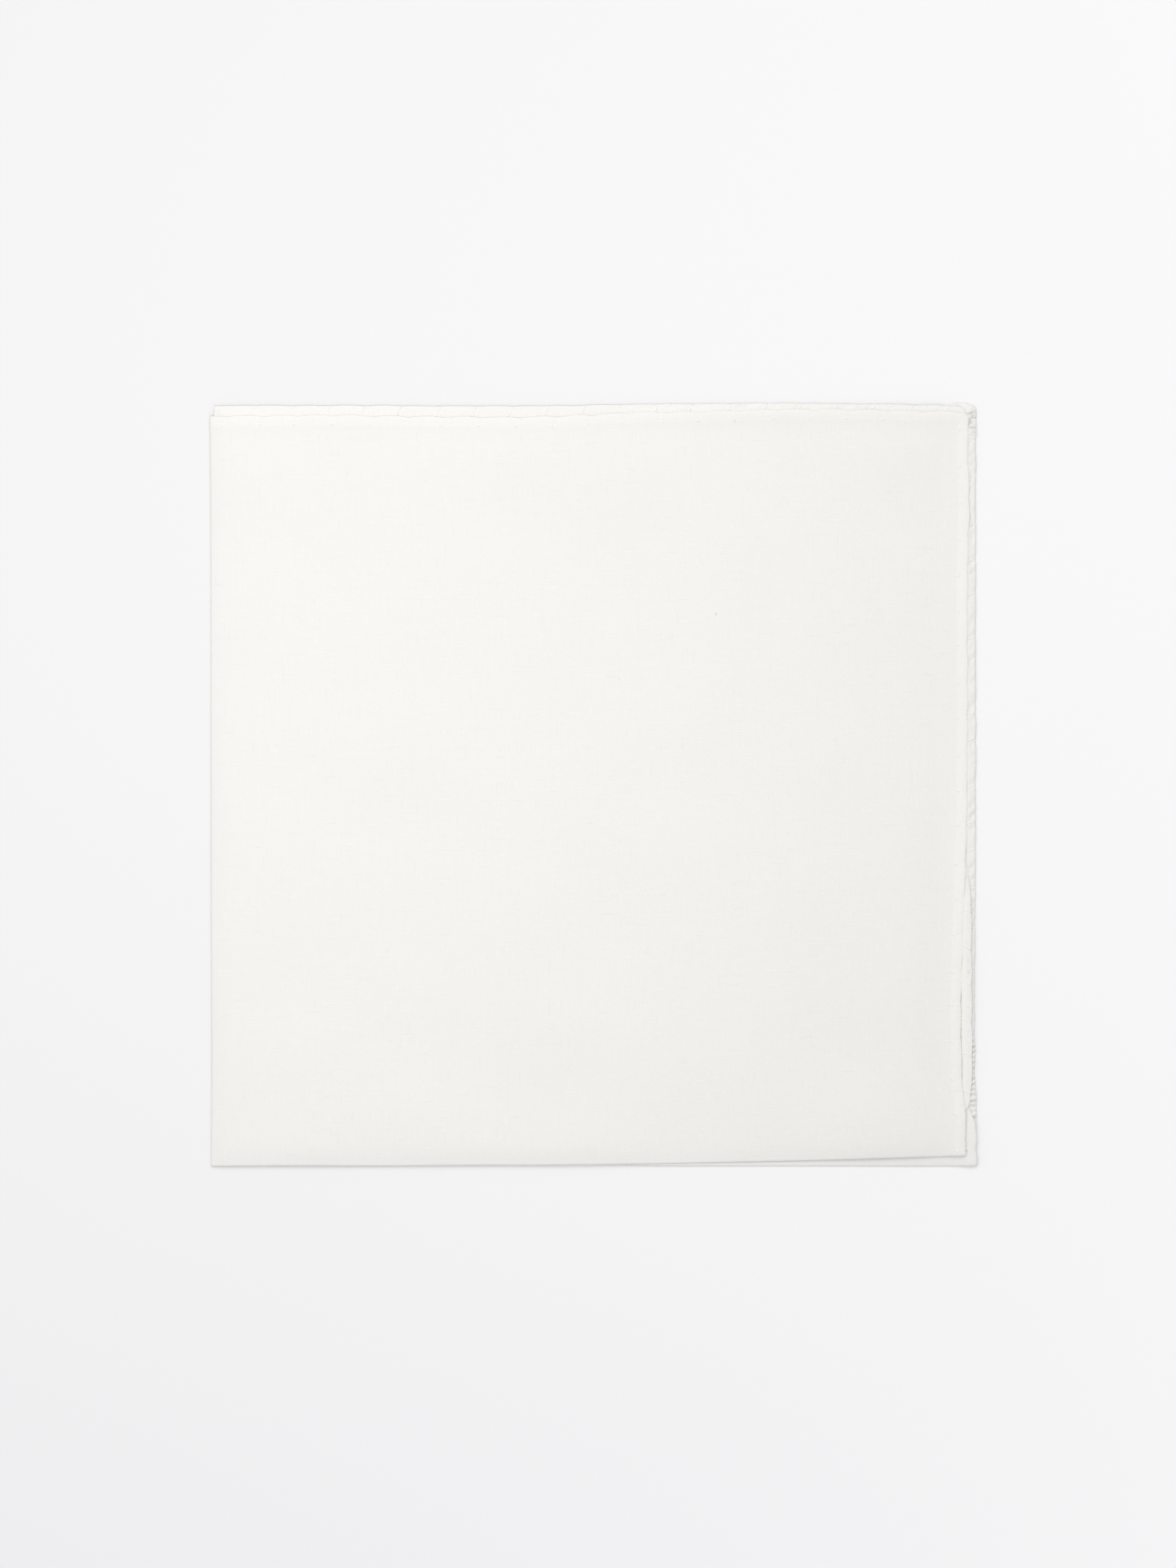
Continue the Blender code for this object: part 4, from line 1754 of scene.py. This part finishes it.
@dataclass(frozen=True)
class ThreadSweep:
    """Geometry Nodes that turn stitch paths into thread.

    Args:
        radius: half the thread's thickness.
        sides: faces round the thread.
        spacing: from ring to ring along it.
        unevenness: how much its thickness varies from stitch to stitch.
        seed: fixes that variation.
    """
    radius: float = 0.125 * MM
    sides: int = 4
    spacing: float = 0.36 * MM
    unevenness: float = 0.2
    seed: int = 7

    NAME = "thread_sweep"
    SOCKETS = (
        ("Paths", "NodeSocketGeometry"), ("Radius", "NodeSocketFloat"), ("Sides", "NodeSocketInt"),
        ("Spacing", "NodeSocketFloat"), ("Unevenness", "NodeSocketFloat"), ("Seed", "NodeSocketInt"),
        ("Finish", "NodeSocketMaterial"),
    )

    def tree(self) -> bpy.types.NodeTree:
        """Builds the tree.

        Returns:
            The tree, which takes paths and gives thread.
        """
        tree = bpy.data.node_groups.new(self.NAME, "GeometryNodeTree")
        for name, kind in self.SOCKETS:
            tree.interface.new_socket(name, in_out="INPUT", socket_type=kind)
        tree.interface.new_socket("Thread", in_out="OUTPUT", socket_type="NodeSocketGeometry")
        board = NodeBoard(tree)
        given = board.add("NodeGroupInput").outputs
        curves = board.add("GeometryNodeMeshToCurve", {"Mesh": given["Paths"]}).outputs["Curve"]
        least = board.sum("SUBTRACT", 1.0, given["Unevenness"])
        most = board.sum("ADD", 1.0, given["Unevenness"])
        number = board.add("GeometryNodeInputIndex").outputs["Index"]
        chance = board.add("FunctionNodeRandomValue", {
            "Min": least, "Max": most, "ID": number, "Seed": given["Seed"]}, data_type="FLOAT")
        wide = board.sum("MULTIPLY", chance.outputs[1], given["Radius"])
        held = board.add("GeometryNodeSetCurveRadius", {"Curve": curves, "Radius": wide})
        even = board.add("GeometryNodeResampleCurve", {"Curve": held.outputs["Curve"]})
        self.set_mode(even, "LENGTH")
        tree.links.new(given["Spacing"], even.inputs["Length"])
        ring = board.add("GeometryNodeCurvePrimitiveCircle", {"Resolution": given["Sides"], "Radius": 1.0})
        swept = board.add("GeometryNodeCurveToMesh", {
            "Curve": even.outputs["Curve"], "Profile Curve": ring.outputs["Curve"], "Fill Caps": True})
        if "Scale" in swept.inputs:
            radius = board.add("GeometryNodeInputRadius").outputs["Radius"]
            tree.links.new(radius, swept.inputs["Scale"])
        smooth = board.add("GeometryNodeSetShadeSmooth", {"Geometry": swept.outputs["Mesh"]})
        whole = board.add("GeometryNodeRealizeInstances", {"Geometry": smooth.outputs["Geometry"]})
        dressed = board.add("GeometryNodeSetMaterial", {
            "Geometry": whole.outputs["Geometry"], "Material": given["Finish"]})
        board.add("NodeGroupOutput", {"Thread": dressed.outputs["Geometry"]})
        return tree

    @staticmethod
    def set_mode(node: bpy.types.Node, mode: str) -> None:
        """Sets a node's mode, which is an option of the node or a menu input of it.

        Args:
            node: the node.
            mode: the mode, in capitals.
        """
        if hasattr(node, "mode"):
            node.mode = mode
        else:
            node.inputs["Mode"].default_value = mode.title()

    def sweep(self, paths: bpy.types.Object, name: str, finish: bpy.types.Material) -> bpy.types.Object:
        """Runs the tree on a mesh of paths.

        Args:
            paths: the object that holds the paths as edges.
            name: name of the thread.
            finish: material of the thread.

        Returns:
            The thread as a plain mesh object, in place of the paths.
        """
        modifier = paths.modifiers.new(self.NAME, "NODES")
        modifier.node_group = self.tree()
        values = {"Radius": self.radius, "Sides": self.sides, "Spacing": self.spacing,
                  "Unevenness": self.unevenness, "Seed": self.seed, "Finish": finish}
        for item in modifier.node_group.interface.items_tree:
            if item.in_out == "INPUT" and item.name in values:
                modifier[item.identifier] = values[item.name]
        graph = bpy.context.evaluated_depsgraph_get()
        mesh = bpy.data.meshes.new_from_object(paths.evaluated_get(graph), depsgraph=graph)
        paths.modifiers.remove(modifier)
        mesh.name = name
        thread = new_object(name, mesh)
        bpy.data.objects.remove(paths)
        return thread


@dataclass
class HemStitching:
    """The stitches that hold the rolled hems.  Every second close stitch slants the other way.

    Args:
        cloth: the hemmed cloth.
        sweep: the thread.
        finish: the thread's material.
    """
    cloth: FoldedCloth
    sweep: ThreadSweep
    finish: SewingThread

    CORNER_CLEARANCE = 4.0 * MM
    CLOSE_LIFT = 0.06 * MM
    ZIGZAG = -1.6                  # turns a close stitch's slant round, in slants

    def points(self, line: HemLine, places: np.ndarray, first_sign: float, on_right: bool) -> np.ndarray:
        """Points of the stitches along one hem.

        Args:
            line: the hem.
            places: where its stitches lie.
            first_sign: sign of p on a right hem, or of q on a back hem.
            on_right: whether this is a right hem.

        Returns:
            The points, stitch by stitch.
        """
        step_along, step_inset, step_lift, step_face = np.array(STITCH).T
        along = (places[:, None] + step_along * MM).ravel()
        inset = np.tile(step_inset * MM, len(places))
        close = np.arange(len(places)) - (len(places) - sum(len(stretch) for stretch in line.close()))
        lift = (step_lift * MM + np.where(close >= 0, self.CLOSE_LIFT, 0.0)[:, None]).ravel()
        on_outer = np.tile(step_face > 0.5, len(places))
        turned = (close >= 0) & (close % 2 == 1)
        along = along + np.where(turned[:, None], self.ZIGZAG * step_along * MM, 0.0).ravel()
        edge = first_sign * (self.cloth.fold.half_side - inset)
        p, q = (edge, along) if on_right else (along, edge)
        drawn_p, drawn_q, faces = self.cloth.surface(p, q)
        out = np.where(on_outer, faces.outer + lift, faces.inner - lift)
        placed = self.cloth.fold.place(drawn_p, drawn_q, out)
        placed[:, 2] = np.maximum(placed[:, 2], self.sweep.radius * (1.0 + self.sweep.unevenness))
        return placed

    def build(self) -> bpy.types.Object:
        """Makes every stitch as one piece.

        Returns:
            The stitches' object.
        """
        reach = self.cloth.fold.half_side - self.CORNER_CLEARANCE
        points = []
        for sign, line in zip((1.0, -1.0), self.cloth.hem.RIGHT_LINES):
            points.append(self.points(line, line.stitches(reach), sign, on_right=True))
        for sign, line in zip((1.0, -1.0), self.cloth.hem.BACK_LINES):
            points.append(self.points(line, line.stitches(reach), sign, on_right=False))
        places = np.concatenate(points)
        number = np.arange(len(places) - 1)
        kept = number[(number + 1) % len(STITCH) != 0]
        mesh = bpy.data.meshes.new("stitch_paths")
        mesh.from_pydata(places, np.column_stack((kept, kept + 1)), [])
        return self.sweep.sweep(new_object("stitch_paths", mesh), "hem_stitches", self.finish.material())


@dataclass(frozen=True)
class Studio:
    """A pale floor with painted light under a soft overhead light, a high one from the back and the room's
    own light.

    Args:
        centre: the point the camera looks at.
        view_height: height of the camera's frame at that point.
        lens: focal length, in mm.
        paper: the floor's finish.
        key_place: where the soft light hangs, facing the floor.
        key_size: its side.
        key_power: its power.
        window_place: where the high soft light at the back stands, facing the scarf.
        window_size: its side.
        window_power: its power.
        sky: strength of the even light of the room.
    """
    centre: Vector
    view_height: float = 336.8 * MM
    lens: float = 120.0
    paper: StudioPaper = StudioPaper()
    key_place: tuple = (-85.0 * MM, 50.0 * MM, 280.0 * MM)
    key_size: float = 350.0 * MM
    key_power: float = 0.389
    window_place: tuple = (0.0, 1150.0 * MM, 1150.0 * MM)
    window_size: float = 900.0 * MM
    window_power: float = 5.4
    sky: float = 0.668

    SENSOR = 36.0                  # in mm
    FLOOR_HALF = 3000.0 * MM
    FLOOR_DROP = 0.02 * MM

    def build_floor(self) -> bpy.types.Object:
        """Makes the floor.

        Returns:
            The floor's object.
        """
        mesh = bpy.data.meshes.new("studio_floor")
        half = self.FLOOR_HALF
        drop = -self.FLOOR_DROP
        corners = [(-half, -half, drop), (half, -half, drop), (half, half, drop), (-half, half, drop)]
        mesh.from_pydata(corners, [], [(0, 1, 2, 3)])
        mesh.materials.append(self.paper.material())
        return new_object("studio_floor", mesh)

    def build_lights(self) -> None:
        """Sets the overhead light, the light from the back and the even light of the room."""
        self.add_lamp("key_light", self.key_place, self.key_size, self.key_power)
        window = self.add_lamp("window_light", self.window_place, self.window_size, self.window_power)
        facing = self.centre - Vector(self.window_place)
        window.rotation_euler = facing.to_track_quat("-Z", "Y").to_euler()
        world = bpy.data.worlds.new("studio_room")
        world.use_nodes = True
        world.node_tree.nodes["Background"].inputs["Color"].default_value = (1.0, 1.0, 1.0, 1.0)
        world.node_tree.nodes["Background"].inputs["Strength"].default_value = self.sky
        bpy.context.scene.world = world
        bpy.context.scene.view_settings.view_transform = "Standard"

    @staticmethod
    def add_lamp(name: str, place: tuple, size: float, power: float) -> bpy.types.Object:
        """Adds a square soft light that faces the floor.

        Args:
            name: name of the light.
            place: where it hangs.
            size: its side.
            power: its power.

        Returns:
            The light's object.
        """
        lamp = bpy.data.lights.new(name, "AREA")
        lamp.shape = "SQUARE"
        lamp.size = size
        lamp.energy = power
        light = new_object(name, lamp)
        light.location = place
        light.visible_camera = False
        return light

    def build_camera(self) -> None:
        """Sets the camera straight above the scarf."""
        data = bpy.data.cameras.new("camera")
        data.lens = self.lens
        data.sensor_width = self.SENSOR
        distance = self.view_height * self.lens / self.SENSOR
        camera = new_object("camera", data)
        camera.location = self.centre + Vector((0.0, 0.0, distance))
        bpy.context.scene.camera = camera


def main() -> None:
    """Builds the scarf and its studio."""
    logging.basicConfig(level=logging.INFO, format="%(name)s: %(message)s")
    half_side = HALF_SIDE * MM
    outline = Outline(*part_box(CLOTH_NODE))
    hem = RolledHem(half_side, THICKNESS)
    stack = LayerStack(outline, hem)
    fold = QuarterFold(outline, stack, half_side, THICKNESS)
    body = FoldedCloth(fold, hem, CottonLawn(2.0 * half_side, hem.width))
    cloth = body.build()
    stitches = HemStitching(body, ThreadSweep(), SewingThread()).build()
    for piece in (cloth, stitches):
        log.info("%s: %d faces", piece.name, len(piece.data.polygons))
        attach(piece, BODY)
    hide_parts(CLOTH_NODE)

    studio = Studio(centre=Vector(VIEW_CENTRE))
    studio.build_floor()
    studio.build_lights()
    studio.build_camera()


if __name__ == "__main__":
    main()
